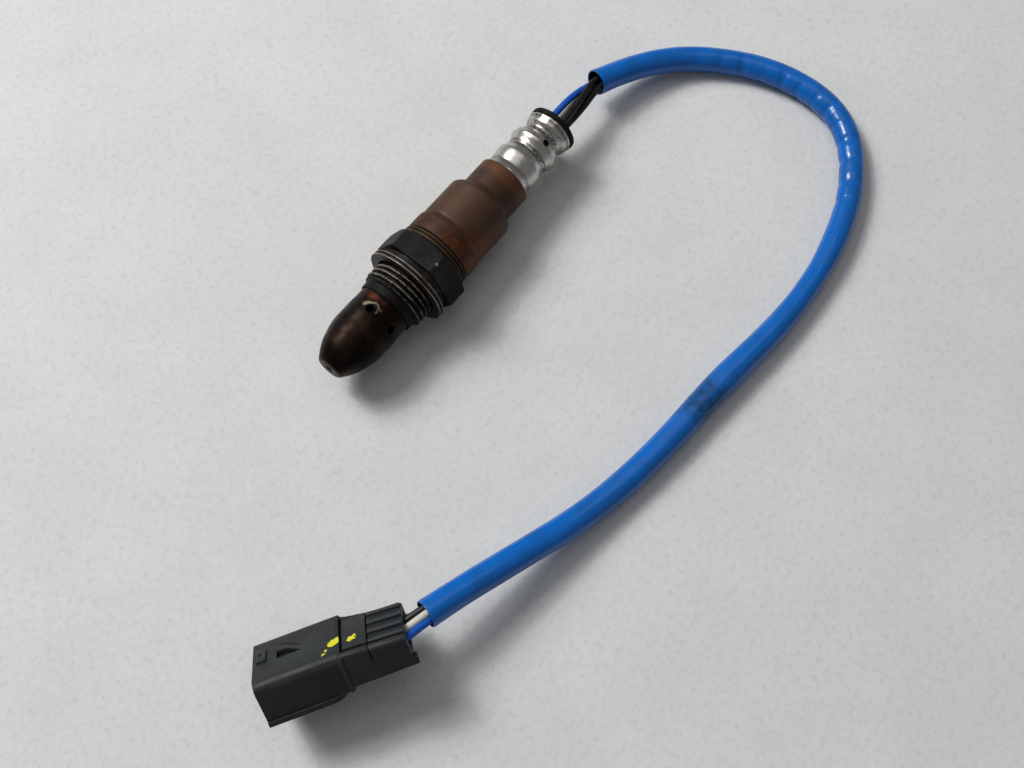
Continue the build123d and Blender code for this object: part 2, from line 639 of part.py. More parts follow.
def make_hood():
    """Front shell of the connector: rounded outside, open mouth and a foot rail."""
    outside = rounded_bar(BLOCK_LENGTH, CONNECTOR_LENGTH, HOOD_WIDTH, RAIL_THICKNESS / 2, HOOD_TOP,
                          HOOD_TOP_ROUNDING, HOOD_FOOT_ROUNDING)
    mouth = rounded_bar(HOOD_FLOOR, CONNECTOR_LENGTH + 1, HOOD_WIDTH - 2 * HOOD_WALL,
                        RAIL_THICKNESS / 2 + HOOD_WALL, HOOD_TOP - HOOD_WALL,
                        HOOD_TOP_ROUNDING - HOOD_WALL / 2, HOOD_FOOT_ROUNDING / 2)
    rail_rear = CONNECTOR_LENGTH - RAIL_LENGTH
    rail = block(rail_rear, CONNECTOR_LENGTH, -RAIL_WIDTH / 2, RAIL_WIDTH / 2, 0, RAIL_THICKNESS)
    rear_corners = rail.edges().filter_by(Axis.Z).sort_by(Axis.X)[:2]
    rail = fillet(rear_corners, RAIL_TAPER)
    return outside + rail - mouth - lock_pocket()


def make_housing():
    """Moulded connector housing: hood, terminal block and the open rear tray."""
    half = BLOCK_WIDTH / 2
    inner = half - CAP_WALL - CAP_CLEARANCE
    gap = PAD_WIDTH / 2 + PAD_GAP
    middle = block(CAP_LENGTH, BLOCK_LENGTH, -half, half, BLOCK_FLOOR, BLOCK_TOP)
    channel = block(CAP_LENGTH - 1, BLOCK_LENGTH, -gap, gap, TRAY_TOP + CAP_WALL, BLOCK_TOP + 1)
    pad = sloped_pad(CAP_LENGTH, BLOCK_LENGTH, PAD_WIDTH, TRAY_TOP)
    tray = block(0, CAP_LENGTH, -half, half, BLOCK_FLOOR, CAP_SKIRT - CAP_CLEARANCE)
    tray += block(0, CAP_LENGTH, -inner, inner, BLOCK_FLOOR, TRAY_TOP)
    well = block(-1, CAP_LENGTH, TRAY_WALL - inner, inner - TRAY_WALL, TRAY_FLOOR, TRAY_TOP + 1)
    heel = block(-HEEL_LENGTH, 0, half - HEEL_WIDTH, half, BLOCK_FLOOR, BLOCK_FLOOR + HEEL_HEIGHT)
    housing = make_hood() + (middle - channel + pad) + (tray - well) + heel
    seal_bore = Rot(0, 90, 0) * Cylinder(SEAL_RADIUS, SEAL_LENGTH + 1)
    room = LEAD_RADIUS + BARREL_WALL + TERMINAL_CLEARANCE
    chamber = block(CAP_LENGTH + SEAL_LENGTH - 0.1, HOOD_FLOOR - RETAINER_THICKNESS, -room, room,
                    CAVITY_HEIGHT - room, CAVITY_HEIGHT + room)
    for y in cavity_places().values():
        housing -= Pos(CAP_LENGTH + (SEAL_LENGTH - 1) / 2, y, CAVITY_HEIGHT) * seal_bore
        housing -= Pos(0, y, 0) * chamber
    return housing - retainer_bar(SEAT_CLEARANCE)


def retainer_bar(room):
    """Body of the retainer, let into the hood's floor, with room added all round."""
    half = 2 * CAVITY_PITCH + room
    deep = TERMINAL_HEIGHT / 2 + BARREL_WALL + 0.6 + room
    return block(HOOD_FLOOR - RETAINER_THICKNESS - room, HOOD_FLOOR + 0.01, -half, half,
                 CAVITY_HEIGHT - deep, CAVITY_HEIGHT + deep)


def make_retainer():
    """Front plate that locks the terminals, with one slot for each tab."""
    plate = retainer_bar(0.0)
    slot = Box(3 * RETAINER_THICKNESS, TAB_WIDTH + 2 * SEAT_CLEARANCE, TAB_THICKNESS + 2 * SEAT_CLEARANCE)
    return plate - [Pos(HOOD_FLOOR, y, CAVITY_HEIGHT) * slot for y in cavity_places().values()]


def make_rear_cap():
    """Ribbed cap that closes the tray over the seals and leads."""
    half = BLOCK_WIDTH / 2
    inner = half - CAP_WALL
    end = CAP_LENGTH - CAP_CLEARANCE
    gap = PAD_WIDTH / 2 + PAD_GAP
    step = end - CAP_RIB_HEIGHT
    cap = block(0, end, -half, half, CAP_SKIRT, BLOCK_TOP)
    cap -= block(-1, CAP_LENGTH + 1, -inner, inner, CAP_SKIRT - 1, TRAY_TOP)
    cap -= block(-1, CAP_LENGTH + 1, -gap, gap, TRAY_TOP + CAP_WALL / 2, BLOCK_TOP + 1)
    cap += sloped_pad(0, end, PAD_WIDTH, TRAY_TOP, CAP_RIB_HEIGHT)
    pitch = (PAD_WIDTH - CAP_RIB_WIDTH) / (CAP_RIBS - 1)
    rib = sloped_pad(0, step, CAP_RIB_WIDTH, TRAY_TOP)
    for i in range(CAP_RIBS):
        cap += Pos(0, (CAP_RIB_WIDTH - PAD_WIDTH) / 2 + i * pitch, 0) * rib
    return cap


def make_seal(y):
    """Ribbed rubber seal round one lead."""
    groove = SEAL_RADIUS - SEAL_RIB
    third = SEAL_LENGTH / 3
    corners = [(0, LEAD_RADIUS), (0, SEAL_RADIUS)]
    for i in range(2):
        rib_end = (i + 0.6) * third
        corners += [(rib_end, SEAL_RADIUS), (rib_end, groove), ((i + 1) * third, groove)]
        corners += [((i + 1) * third, SEAL_RADIUS)]
    corners += [(SEAL_LENGTH, SEAL_RADIUS), (SEAL_LENGTH, LEAD_RADIUS)]
    return Pos(CAP_LENGTH, y, CAVITY_HEIGHT) * turned(corners)


def make_terminal(y):
    """Tab terminal: barrel closed on the lead, square body and flat tab."""
    body_front = HOOD_FLOOR - RETAINER_THICKNESS - TERMINAL_CLEARANCE
    body_rear = body_front - TERMINAL_LENGTH
    barrel = tube(body_rear, body_rear - BARREL_LENGTH, LEAD_RADIUS + BARREL_WALL, LEAD_RADIUS)
    body = bar(body_front, body_rear, TERMINAL_WIDTH, TERMINAL_HEIGHT)
    tab = bar(body_front, body_front + TAB_LENGTH, TAB_WIDTH, TAB_THICKNESS)
    tab = chamfer(tab.faces().sort_by(Axis.X)[-1].edges(), TAB_THICKNESS / 3)
    return Pos(0, y, CAVITY_HEIGHT) * (barrel + body + tab)


# -------------------------------------------------------------- leads and sleeve
def bend_radii(points):
    """Each corner's radius: as large as its two runs allow."""
    corners = [Vector(*p) for p in points]
    radii = []
    for before, here, after in zip(corners, corners[1:], corners[2:]):
        run_in = here - before
        run_out = after - here
        half_turn = radians(run_in.get_angle(run_out)) / 2
        radii.append(ROUTE_SHARE * min(run_in.length, run_out.length) / tan(half_turn))
    return radii


def path_through(name, points):
    """Straight runs joined by tangent arcs, with the radii printed."""
    radii = bend_radii(points)
    print(name, "bend radii", [round(r, 1) for r in radii])
    return FilletPolyline(*points, radius=radii)


def bundle_route(side, up):
    """The sleeve's route moved to one lead's place in the bundle."""
    points = []
    last = len(SLEEVE_ROUTE) - 1
    for i, (x, y, z) in enumerate(SLEEVE_ROUTE):
        run_in = flat_direction(max(i - 1, 0))
        run_out = flat_direction(min(i, last - 1))
        middle = (run_in + run_out).normalized()
        reach = BUNDLE_SPACING * side / middle.dot(run_in)
        points.append((x - middle.Y * reach, y + middle.X * reach, z + BUNDLE_SPACING * up))
    return points


def flat_direction(i):
    """Level direction of the route's run that starts at point i."""
    start = SLEEVE_ROUTE[i]
    end = SLEEVE_ROUTE[i + 1]
    return Vector(end[0] - start[0], end[1] - start[1], 0).normalized()


def lead_end_station():
    return HOOD_FLOOR - RETAINER_THICKNESS - TERMINAL_CLEARANCE - TERMINAL_LENGTH


def make_lead(name):
    """One lead, from its crimp in the sensor to its terminal in the connector."""
    side, up, _ = LEADS[name]
    y, z = lead_places()[name]
    row = cavity_places()[name]
    place = connector_location()
    points = [(LEAD_START, y, z), (LEAD_BEND_STATION, y, z)]
    points += bundle_route(side, up)
    for station in (LEAD_FAN_STATION, lead_end_station()):
        points.append(tuple((place * Pos(station, row, CAVITY_HEIGHT)).position))
    path = path_through(name, points)
    section = Plane(path @ 0, z_dir=path % 0) * Circle(LEAD_RADIUS)
    return sweep(section, path=path)


def make_sleeve():
    """Soft sleeve over the four leads, cut square at both ends."""
    path = path_through("cable_sleeve", SLEEVE_ROUTE)
    ring = Circle(SLEEVE_RADIUS) - Circle(SLEEVE_RADIUS - SLEEVE_WALL)
    sleeve = sweep(Plane(path @ 0, z_dir=path % 0) * ring, path=path)
    section = ring.area
    print("cable_sleeve length", round(path.length, 1),
          "volume against section times length", round(sleeve.volume / (section * path.length), 4))
    return sleeve


# ---------------------------------------------------------------------- build
def sensor_nodes():
    nodes = {
        "metal_shell": make_shell(),
        "seat_gasket": make_gasket(),
        "outer_cover": make_outer_cover(),
        "inner_cover": make_inner_cover(),
        "sensing_element": make_element(),
        "front_insulator": make_front_insulator(),
        "talc_packing": packing_slug(TALC_FRONT, TALC_REAR),
        "rear_insulator": packing_slug(TALC_REAR, PACKING_FRONT),
        "packing_ring": make_packing_ring(),
        "rear_casing": make_casing(),
        "contact_block": make_contact_block(),
        "block_clip": make_clip(),
        "breather_collar": make_collar(),
        "breather_membrane": make_membrane(),
        "lead_grommet": make_grommet(),
    }
    for number, (name, (y, z)) in enumerate(lead_places().items(), 1):
        nodes[f"contact_spring_{number}"] = make_spring(y / LEAD_SPACING, z / LEAD_SPACING)
        nodes[f"lead_crimp_{number}"] = make_crimp(y, z)
    return nodes


def connector_nodes():
    nodes = {
        "connector_housing": make_housing(),
        "connector_rear_cap": make_rear_cap(),
        "terminal_retainer": make_retainer(),
    }
    for number, y in enumerate(cavity_places().values(), 1):
        nodes[f"terminal_{number}"] = make_terminal(y)
        nodes[f"wire_seal_{number}"] = make_seal(y)
    place = connector_location()
    return {name: place * shape for name, shape in nodes.items()}


def cable_nodes():
    nodes = {name: make_lead(name) for name in LEADS}
    nodes["cable_sleeve"] = make_sleeve()
    return nodes


def main():
    os.makedirs("parts", exist_ok=True)
    nodes = {**sensor_nodes(), **connector_nodes(), **cable_nodes()}
    for name, shape in nodes.items():
        export_step(shape, f"parts/{name}.step")


main()
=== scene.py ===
"""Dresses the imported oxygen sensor: shell, gasket, cover, casing, collar, leads, sleeve and connector.

Sections are written in millimetres along the sensor's axis and round it, and are turned to metres last.
"""

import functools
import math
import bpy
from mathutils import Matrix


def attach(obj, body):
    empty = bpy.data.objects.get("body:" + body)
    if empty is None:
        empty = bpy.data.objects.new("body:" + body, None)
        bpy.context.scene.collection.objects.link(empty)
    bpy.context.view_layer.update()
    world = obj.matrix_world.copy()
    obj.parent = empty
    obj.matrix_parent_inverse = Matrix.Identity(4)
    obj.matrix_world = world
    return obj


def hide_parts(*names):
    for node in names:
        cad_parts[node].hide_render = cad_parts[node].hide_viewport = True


bl_info = {
    "name": "Oxygen sensor",
    "version": (1, 0, 0),
    "blender": (4, 5, 0),
    "location": "3D View > Sidebar > Sensor",
    "description": "Builds the dressed oxygen sensor round its packed CAD parts",
    "category": "Object",
}

import types

import bmesh
import bpy
import numpy as np
from mathutils import Matrix, Vector

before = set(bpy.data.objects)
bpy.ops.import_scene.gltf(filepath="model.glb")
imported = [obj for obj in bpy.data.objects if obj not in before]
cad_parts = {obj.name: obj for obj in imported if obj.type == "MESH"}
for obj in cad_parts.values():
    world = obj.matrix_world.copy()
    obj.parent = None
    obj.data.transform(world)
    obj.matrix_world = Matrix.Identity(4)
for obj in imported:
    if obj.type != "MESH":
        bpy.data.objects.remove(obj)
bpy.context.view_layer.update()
METRE = 0.001
TURN = 2 * math.pi


def mm(value):
    """Millimetres as metres."""
    return value * METRE


# Station at which the cover is seated in the shell, in mm.
COVER_SEAT = 4.7
# How far the collar's vent holes stand behind the casing's rim, in mm.
VENTS_BEHIND = 13.1
# White nick on the hexagon's upper corner.
NICK_PLACE = (mm(-6.2), mm(6.25), mm(10.75))
# Yellow dabs on the connector: from the mouth, across, up, radius, in mm.
PAINT_DABS = (
    (19.3, 3.3, 10.9, 1.35), (20.0, 2.5, 10.8, 0.9), (18.8, 3.9, 10.9, 0.9), (23.9, 1.9, 10.0, 0.6),
    (23.3, 2.7, 10.0, 0.9), (22.8, 3.4, 10.1, 0.6), (17.4, 5.6, 10.9, 0.42), (16.9, 6.7, 10.9, 0.42),
)


def linear(code):
    """sRGB hex colour as linear RGBA."""
    parts = [int(code[i:i + 2], 16) / 255 for i in (1, 3, 5)]
    return tuple(p / 12.92 if p <= 0.04045 else ((p + 0.055) / 1.055) ** 2.4 for p in parts) + (1.0,)


def length_of(name, description, value):
    return bpy.props.FloatProperty(
        name=name, description=description, default=mm(value), unit="LENGTH", precision=5)


def count_of(name, description, value):
    return bpy.props.IntProperty(name=name, description=description, default=value, min=1)


def colour_of(name, description, code):
    return bpy.props.FloatVectorProperty(
        name=name, description=description, default=linear(code), size=4, subtype="COLOR", min=0, max=1)


# ------------------------------------------------------------------ sizes and colours
class ShellSizes(bpy.types.PropertyGroup):
    """Steel shell: hexagon, shoulder ring, thread, pilot and weld bead."""
    across_flats: length_of("Across flats", "Hexagon's size between opposite flats", 22.0)
    hex_front: length_of("Hexagon front", "Station of the hexagon's front face", -3.5)
    hex_rear: length_of("Hexagon rear", "Station of the hexagon's rear face", -10.3)
    hex_corner: length_of("Corner radius", "Rounding of the hexagon's six long edges", 0.5)
    front_chamfer: length_of("Front chamfer radius", "Circle on which the front chamfer starts", 12.2)
    crown_radius: length_of("Crown radius", "Circle on which the rear crown starts", 10.4)
    ring_radius: length_of("Shoulder ring radius", "Ring between the hexagon and the gasket", 10.2)
    ring_front: length_of("Shoulder ring front", "Station at which the gasket bears", -1.7)
    thread_radius: length_of("Thread radius", "Half of the thread's major diameter", 9.0)
    thread_pitch: length_of("Thread pitch", "Distance between crests", 1.5)
    thread_depth: length_of("Thread depth", "Depth of the worn thread", 0.8)
    thread_start: length_of("Thread start", "Station at which the thread starts", 0.2)
    thread_end: length_of("Thread end", "Station at which the thread is still full", 5.2)
    pilot_rear: length_of("Pilot rear", "Station at which the plain pilot starts", 5.8)
    pilot_radius: length_of("Pilot radius", "Plain pilot in front of the thread", 8.0)
    nose_front: length_of("Nose front", "Station of the shell's front rim", 8.0)
    bead_radius: length_of("Bead radius", "Crest of the weld bead behind the hexagon", 10.2)
    shell_rear: length_of("Shell rear", "Station at which the casing starts", -12.6)


class CoverSizes(bpy.types.PropertyGroup):
    """Outer probe cover and its holes."""
    neck_radius: length_of("Neck radius", "Cover at the shell", 7.5)
    belly_radius: length_of("Belly radius", "Widest part of the cover", 7.65)
    belly_end: length_of("Belly end", "Station at which the taper starts", 18.3)
    tip_radius: length_of("Tip radius", "Cover at the flat tip's rounding", 3.25)
    length: length_of("Tip station", "Station of the flat tip", 29.3)
    wall: length_of("Wall", "Sheet thickness", 0.5)
    tip_hole: length_of("Tip hole radius", "Hole in the flat tip", 1.0)
    gas_hole: length_of("Gas hole radius", "Holes round the cover", 1.1)
    gas_station: length_of("Gas hole station", "Station of the ring of holes", 12.5)
    gas_count: count_of("Gas holes", "Holes round the cover", 6)


class CasingSizes(bpy.types.PropertyGroup):
    """Deep-drawn rear casing."""
    front_radius: length_of("Front radius", "Casing just behind the weld bead", 10.0)
    crease: length_of("Crease station", "Station of the rolled crease", -18.6)
    body_radius: length_of("Body radius", "Long middle of the casing", 9.65)
    shoulder_front: length_of("Shoulder front", "Station at which the shoulder starts", -30.0)
    shoulder_rear: length_of("Shoulder rear", "Station at which the neck starts", -32.2)
    neck_radius: length_of("Neck radius", "Neck that grips the collar", 7.6)
    rear: length_of("Rear", "Station of the neck's rim", -40.4)
    wall: length_of("Wall", "Sheet thickness", 0.6)


class CollarSizes(bpy.types.PropertyGroup):
    """Rolled collar, its vent holes and the grommet's head."""
    start_radius: length_of("Start radius", "Straight ring at the casing's rim", 6.7)
    front_bulge: length_of("Front bulge radius", "First rolled bulge", 7.05)
    rear_bulge: length_of("Rear bulge radius", "Second rolled bulge", 7.2)
    front_groove: length_of("Front groove radius", "Groove between the bulges", 6.15)
    rear_groove: length_of("Rear groove radius", "Groove in front of the flange", 5.5)
    flange: length_of("Flange radius", "Flared rear rim", 6.9)
    wall: length_of("Wall", "Sheet thickness", 0.4)
    vent_hole: length_of("Vent hole radius", "Holes in the rear bulge", 0.95)
    vent_count: count_of("Vent holes", "Holes in the rear bulge", 4)
    vent_turn: bpy.props.FloatProperty(
        name="Vent turn", description="First hole, from the top", default=math.radians(32), unit="ROTATION")
    head_radius: length_of("Grommet radius", "Rubber head behind the flange", 7.1)


class CordSizes(bpy.types.PropertyGroup):
    """Leads and the sleeve over them."""
    lead_radius: length_of("Lead radius", "Insulated lead", 0.95)
    sleeve_radius: length_of("Sleeve radius", "Outside of the soft sleeve", 3.5)
    sleeve_wall: length_of("Sleeve wall", "Thickness of the soft sleeve", 0.45)


class ConnectorSizes(bpy.types.PropertyGroup):
    """Details moulded on the connector."""
    edge: length_of("Edge rounding", "Radius of the moulded edges", 0.22)
    rib_width: length_of("Rib width", "Grip rib on the rear cap", 1.3)


class Finishes(bpy.types.PropertyGroup):
    """Colours of every finish."""
    scale_dark: colour_of("Oxide scale", "Dark scale of the hexagon", "#0e0c10")
    scale_worn: colour_of("Worn scale", "Edges where the scale is rubbed", "#4f4745")
    deposit: colour_of("Deposit", "Grey-beige deposit on the thread", "#777060")
    bead: colour_of("Weld bead", "Golden heat tint", "#4a3519")
    sheet_steel: colour_of("Gasket", "Oxidised gasket sheet", "#241d19")
    sheet_edge: colour_of("Gasket edge", "Rubbed rims of the gasket", "#8d8277")
    soot: colour_of("Soot", "Near-black of the probe cover", "#0d0908")
    # Painted highlight: the pale rim colour stands in for light caught along the gasket's rims.
    soot_brown: colour_of("Soot brown", "Brown sheen of the probe cover", "#30231b")
    rust: colour_of("Rust", "Rust beside the gas hole", "#3d1e11")
    ash: colour_of("Ash", "Pale ash round the gas hole", "#7b6e5a")
    casing_orange: colour_of("Casing front", "Orange-brown heat tint", "#3a1f0d")
    casing_brown: colour_of("Casing body", "Brown heat tint", "#4a3426")
    casing_dark: colour_of("Casing shoulder", "Dark brown heat tint", "#3f2b1f")
    collar: colour_of("Collar", "Stained stainless steel", "#c8c5be")
    stain: colour_of("Stain", "Burnt specks on the collar", "#2e1f17")
    rubber: colour_of("Rubber", "Grommet", "#060607")
    blue_lead: colour_of("Blue lead", "Insulation", "#0750b2")
    white_lead: colour_of("White lead", "Insulation", "#c9c4bb")
    black_lead: colour_of("Black lead", "Insulation", "#08080a")
    sleeve: colour_of("Sleeve", "Soft blue sleeve", "#0060b6")
    dirt: colour_of("Dirt", "Grime on the sleeve", "#0e2f48")
    plastic: colour_of("Connector", "Dark moulded plastic", "#090a0b")
    paint: colour_of("Paint dab", "Yellow inspection paint", "#d8d02a")
    terminal: colour_of("Terminal", "Tin plate", "#b8b2a6")
    ceramic: colour_of("Ceramic", "White ceramic", "#dad7cf")
    floor: colour_of("Floor", "Pale bench", "#cfcfce")


GROUPS = {
    "sensor_shell": ShellSizes,
    "sensor_cover": CoverSizes,
    "sensor_casing": CasingSizes,
    "sensor_collar": CollarSizes,
    "sensor_cords": CordSizes,
    "sensor_connector": ConnectorSizes,
    "sensor_finishes": Finishes,
}


def sizes(group):
    """A group's lengths in millimetres, with its other values as they are."""
    values = {}
    for prop in group.bl_rna.properties:
        if prop.identifier in ("rna_type", "name"):
            continue
        value = getattr(group, prop.identifier)
        values[prop.identifier] = value / METRE if getattr(prop, "unit", "") == "LENGTH" else value
    return types.SimpleNamespace(**values)


# ------------------------------------------------------------------------- materials
# Kinds of node: type, output, settings, and the inputs that values fill in order, with their usual values.
KINDS = {
    "place": ("ShaderNodeTexCoord", "Object", {}, {}),
    "axes": ("ShaderNodeSeparateXYZ", None, {}, {0: None}),
    "stored": ("ShaderNodeAttribute", "Fac", {}, {}),
    "stored place": ("ShaderNodeAttribute", "Vector", {}, {}),
    "stretch": ("ShaderNodeMapping", 0, {}, {"Vector": None, "Scale": None}),
    "noise": ("ShaderNodeTexNoise", 0, {}, {
        "Vector": None, "Scale": None, "Detail": 4.0, "Roughness": 0.55, "Distortion": 0.0}),
    "ramp": ("ShaderNodeMapRange", 0, {"interpolation_type": "SMOOTHSTEP"}, {
        0: None, 1: None, 2: None, 3: 0.0, 4: 1.0}),
    "mix": ("ShaderNodeMix", 2, {"data_type": "RGBA"}, {0: None, 6: None, 7: None}),
    "times": ("ShaderNodeMath", 0, {"operation": "MULTIPLY"}, {0: None, 1: None}),
    "times plus": ("ShaderNodeMath", 0, {"operation": "MULTIPLY_ADD"}, {0: None, 1: None, 2: None}),
    "over": ("ShaderNodeMath", 0, {"operation": "DIVIDE"}, {0: None, 1: None}),
    "larger": ("ShaderNodeMath", 0, {"operation": "MAXIMUM"}, {0: None, 1: None}),
    "distance": ("ShaderNodeVectorMath", "Value", {"operation": "DISTANCE"}, {0: None, 1: None}),
    "relief": ("ShaderNodeBump", 0, {}, {"Distance": None, "Height": None, "Strength": 1.0}),
    "vector": ("ShaderNodeCombineXYZ", 0, {}, {"X": 0.0, "Y": 0.0, "Z": 0.0}),
    "given": ("NodeGroupInput", None, {}, {}),
    "result": ("NodeGroupOutput", None, {}, {"Geometry": None}),
    "realized": ("GeometryNodeRealizeInstances", 0, {}, {"Geometry": None}),
    "dressed": ("GeometryNodeSetMaterial", 0, {}, {"Geometry": None, "Material": None}),
    "copies": ("GeometryNodeInstanceOnPoints", 0, {}, {
        "Points": None, "Instance": None, "Rotation": None, "Scale": None}),
    "named number": ("GeometryNodeInputNamedAttribute", 0, {"data_type": "FLOAT"}, {"Name": None}),
    "greater": ("FunctionNodeCompare", 0, {"operation": "GREATER_THAN"}, {0: None, 1: None}),
    "scatter": ("GeometryNodeDistributePointsOnFaces", None, {}, {
        "Mesh": None, "Selection": None, "Density": None, "Seed": None}),
    "lump": ("GeometryNodeMeshIcoSphere", 0, {}, {"Radius": None, "Subdivisions": 1}),
    "random scale": ("FunctionNodeRandomValue", 0, {"data_type": "FLOAT_VECTOR"}, {
        0: None, 1: None, "Seed": None}),
    "row": ("GeometryNodeMeshLine", 0, {}, {"Count": None, "Offset": None}),
    "line": ("GeometryNodeCurvePrimitiveLine", 0, {}, {"End": None}),
    "ring": ("GeometryNodeCurvePrimitiveCircle", 0, {}, {"Resolution": None, "Radius": None}),
    "bar": ("GeometryNodeCurveToMesh", 0, {}, {"Curve": None, "Profile Curve": None, "Fill Caps": True}),
    "scaled": ("GeometryNodeTransform", 0, {}, {"Geometry": None, "Scale": None}),
}


def feed(node, values):
    """Sets a node's inputs to numbers or sRGB hex colours, or links outputs to them."""
    for socket, value in values.items():
        if isinstance(value, bpy.types.NodeSocket):
            node.id_data.links.new(value, node.inputs[socket])
        elif value is not None:
            hexed = isinstance(value, str) and value.startswith("#")
            node.inputs[socket].default_value = linear(value) if hexed else value


def add_node(tree, kind, *values, **settings):
    """Adds a node of a kind from the table with its settings and links, and gives its output."""
    type_name, output, usual, inputs = KINDS[kind]
    node = tree.nodes.new(type_name)
    for name, value in {**usual, **settings}.items():
        setattr(node, name, value)
    feed(node, {**inputs, **dict(zip(inputs, values))})
    return node if output is None else node.outputs[output]


def every(size):
    """Noise scale for marks of that size in millimetres, in metres of object space."""
    return 1.0 / mm(size)


def finish(name, **constants):
    """New material, add_node bound to its tree, its shader with the constants and its coordinates."""
    material = bpy.data.materials.new(name)
    material.use_nodes = True
    tree = material.node_tree
    shader = tree.nodes["Principled BSDF"]
    feed(shader, {socket.replace("_", " "): value for socket, value in constants.items()})
    add = functools.partial(add_node, tree)
    return material, add, shader, add("place")


def layered(add, colour, *layers):
    """Lays colours over the first one, each through its mask."""
    for mask, over in layers:
        colour = add("mix", mask, colour, over)
    return colour


def surface(shader, colour, roughness, height, depth):
    """Gives the shader its colour, roughness and relief of that depth in millimetres."""
    relief = add_node(shader.id_data, "relief", mm(depth), height)
    feed(shader, {"Base Color": colour, "Roughness": roughness, "Normal": relief})


def drifting(name, first, second, marks, gloss, depth, spread=None, grain=None, stretch=None, **constants):
    """Finish whose two colours and gloss drift over marks; grain gives the relief finer marks of its own."""
    material, add, shader, place = finish(name, **constants)
    if stretch:
        place = add("stretch", place, stretch)
    patch = add("noise", place, every(marks[0]), *marks[1:])
    mask = add("ramp", patch, *spread) if spread else patch
    relief = add("noise", place, every(grain[0]), grain[1]) if grain else patch
    colour = layered(add, first, (mask, second))
    surface(shader, colour, add("ramp", patch, 0.3, 0.7, *gloss), relief, depth)
    return material


def scaled_steel(f):
    """Forged steel under hot oxide scale: dark violet-black, patchy sheen, rubbed pale on its edges."""
    material, add, shader, place = finish("hot_scaled_steel", Metallic=0.2, Specular_IOR_Level=0.15)
    wear, crest, bead, soot = [
        add("stored", attribute_name=name) for name in ("wear", "crest", "bead", "soot")]
    patch = add("noise", place, every(3.5), 5)
    grain = add("noise", place, every(0.35), 3)
    film = add("noise", place, every(1.5), 6, 0.7)
    rubbed = add("times", add("times", wear, add("ramp", grain, 0.38, 0.62)), 0.75)
    crust = add("ramp", add("times plus", film, 1.3, crest), 1.43, 1.6, 0.0, 0.92)
    tint = add("times", bead, add("ramp", patch, 0.3, 0.62, 0.5, 1.0))
    nick = add("ramp", add("distance", place, NICK_PLACE), mm(0.55), mm(0.3), 0.0, 0.7)
    colour = layered(
        add, f.scale_dark,
        (add("ramp", patch, 0.4, 0.7), "#171418"),
        (rubbed, f.scale_worn),
        (crust, f.deposit),
        (tint, f.bead),
        (add("times", soot, 0.85), f.soot),
        (nick, "#9c9791"))
    gloss = add("ramp", patch, 0.35, 0.7, 0.62, 0.48)
    surface(shader, colour, gloss, add("times plus", crust, 1.5, grain), depth=0.05)
    return material


def gasket_steel(f):
    """Folded sheet steel: dull brown oxide, with bright rims painted as highlight lines."""
    material, add, shader, place = finish("oxidised_sheet_steel", Metallic=0.4, Specular_IOR_Level=0.2)
    grain = add("noise", place, every(0.5), 5)
    patch = add("noise", place, every(2.6))
    # The rim mask carries the painted highlight along the rims.
    rim = add("stored", attribute_name="rim")
    rim = add("times", rim, add("ramp", patch, 0.3, 0.6, 0.4, 1.0))
    colour = layered(
        add, f.sheet_steel, (add("ramp", patch, 0.35, 0.65), "#33291f"), (rim, f.sheet_edge))
    surface(shader, colour, add("ramp", grain, 0.3, 0.7, 0.35, 0.6), grain, depth=0.03)
    return material


def sooted_steel(f):
    """Nickel-steel cover browned by exhaust heat: soot black, soft brown sheen, rust and ash by a hole."""
    material, add, shader, place = finish("soot_browned_steel", Metallic=0.9, Specular_IOR_Level=0.2)
    rust, ash, wear = [add("stored", attribute_name=name) for name in ("rust", "ash", "wear")]
    patch = add("noise", place, every(5.0), 4, 0.6)
    grain = add("noise", place, every(0.4), 5)
    lathe_marks = add("noise", add("stretch", place, (9.0, 1.0, 1.0)), every(2.2), 3)
    ragged = add("times", rust, add("noise", place, every(1.6), 6, 0.7))
    pale = add("times", ash, add("noise", place, every(0.7), 6, 0.75))
    along = add("axes", place).outputs[0]
    colour = layered(
        add, f.soot,
        (add("ramp", patch, 0.28, 0.78), f.soot_brown),
        (add("times", add("ramp", lathe_marks, 0.5, 0.7), 0.35), f.soot),
        (add("ramp", ragged, 0.2, 0.42), f.rust),
        (add("ramp", along, mm(28.3), mm(28.9)), "#050404"),
        (add("ramp", pale, 0.25, 0.5), f.ash),
        (add("times", wear, 0.8), "#5d554e"))
    surface(shader, colour, add("ramp", patch, 0.3, 0.7, 0.5, 0.36), grain, depth=0.03)
    return material


def tinted_casing(f):
    """Deep-drawn stainless casing tinted brown by heat: orange at the hot end, with fine ring marks."""
    material, add, shader, place = finish("heat_tinted_stainless", Metallic=0.4, Specular_IOR_Level=0.3)
    axes = add("axes", place).outputs
    along = axes[0]
    patch = add("noise", place, every(6.0), 5, 0.6)
    drift = add("times plus", patch, mm(5.0), along)
    amber = add("times plus", axes[1], every(26), add("noise", place, every(3.6), 6, 0.65))
    amber = add("times", add("ramp", amber, 0.62, 0.86), add("ramp", along, mm(-24.5), mm(-20.0)))
    rings = add("noise", add("stretch", place, (14.0, 1.0, 1.0)), every(4.0), 3)
    specks = add("ramp", add("noise", place, every(0.55), 6, 0.75), 0.62, 0.72)
    colour = layered(
        add, f.casing_brown,
        (add("ramp", drift, mm(-18.5), mm(-13.0)), f.casing_orange),
        (add("ramp", drift, mm(-26.0), mm(-31.0)), f.casing_dark),
        (add("ramp", drift, mm(-33.0), mm(-36.0)), "#583720"),
        (add("ramp", drift, mm(-37.6), mm(-38.8)), "#20150f"),
        (add("times", amber, 0.7), "#643617"),
        (add("times", add("ramp", rings, 0.45, 0.75), 0.2), "#5c422f"),
        (add("times", specks, 0.5), "#1d1411"))
    gloss = add("ramp", patch, 0.3, 0.7, 0.6, 0.48)
    surface(shader, colour, gloss, add("noise", place, every(0.3)), depth=0.025)
    return material


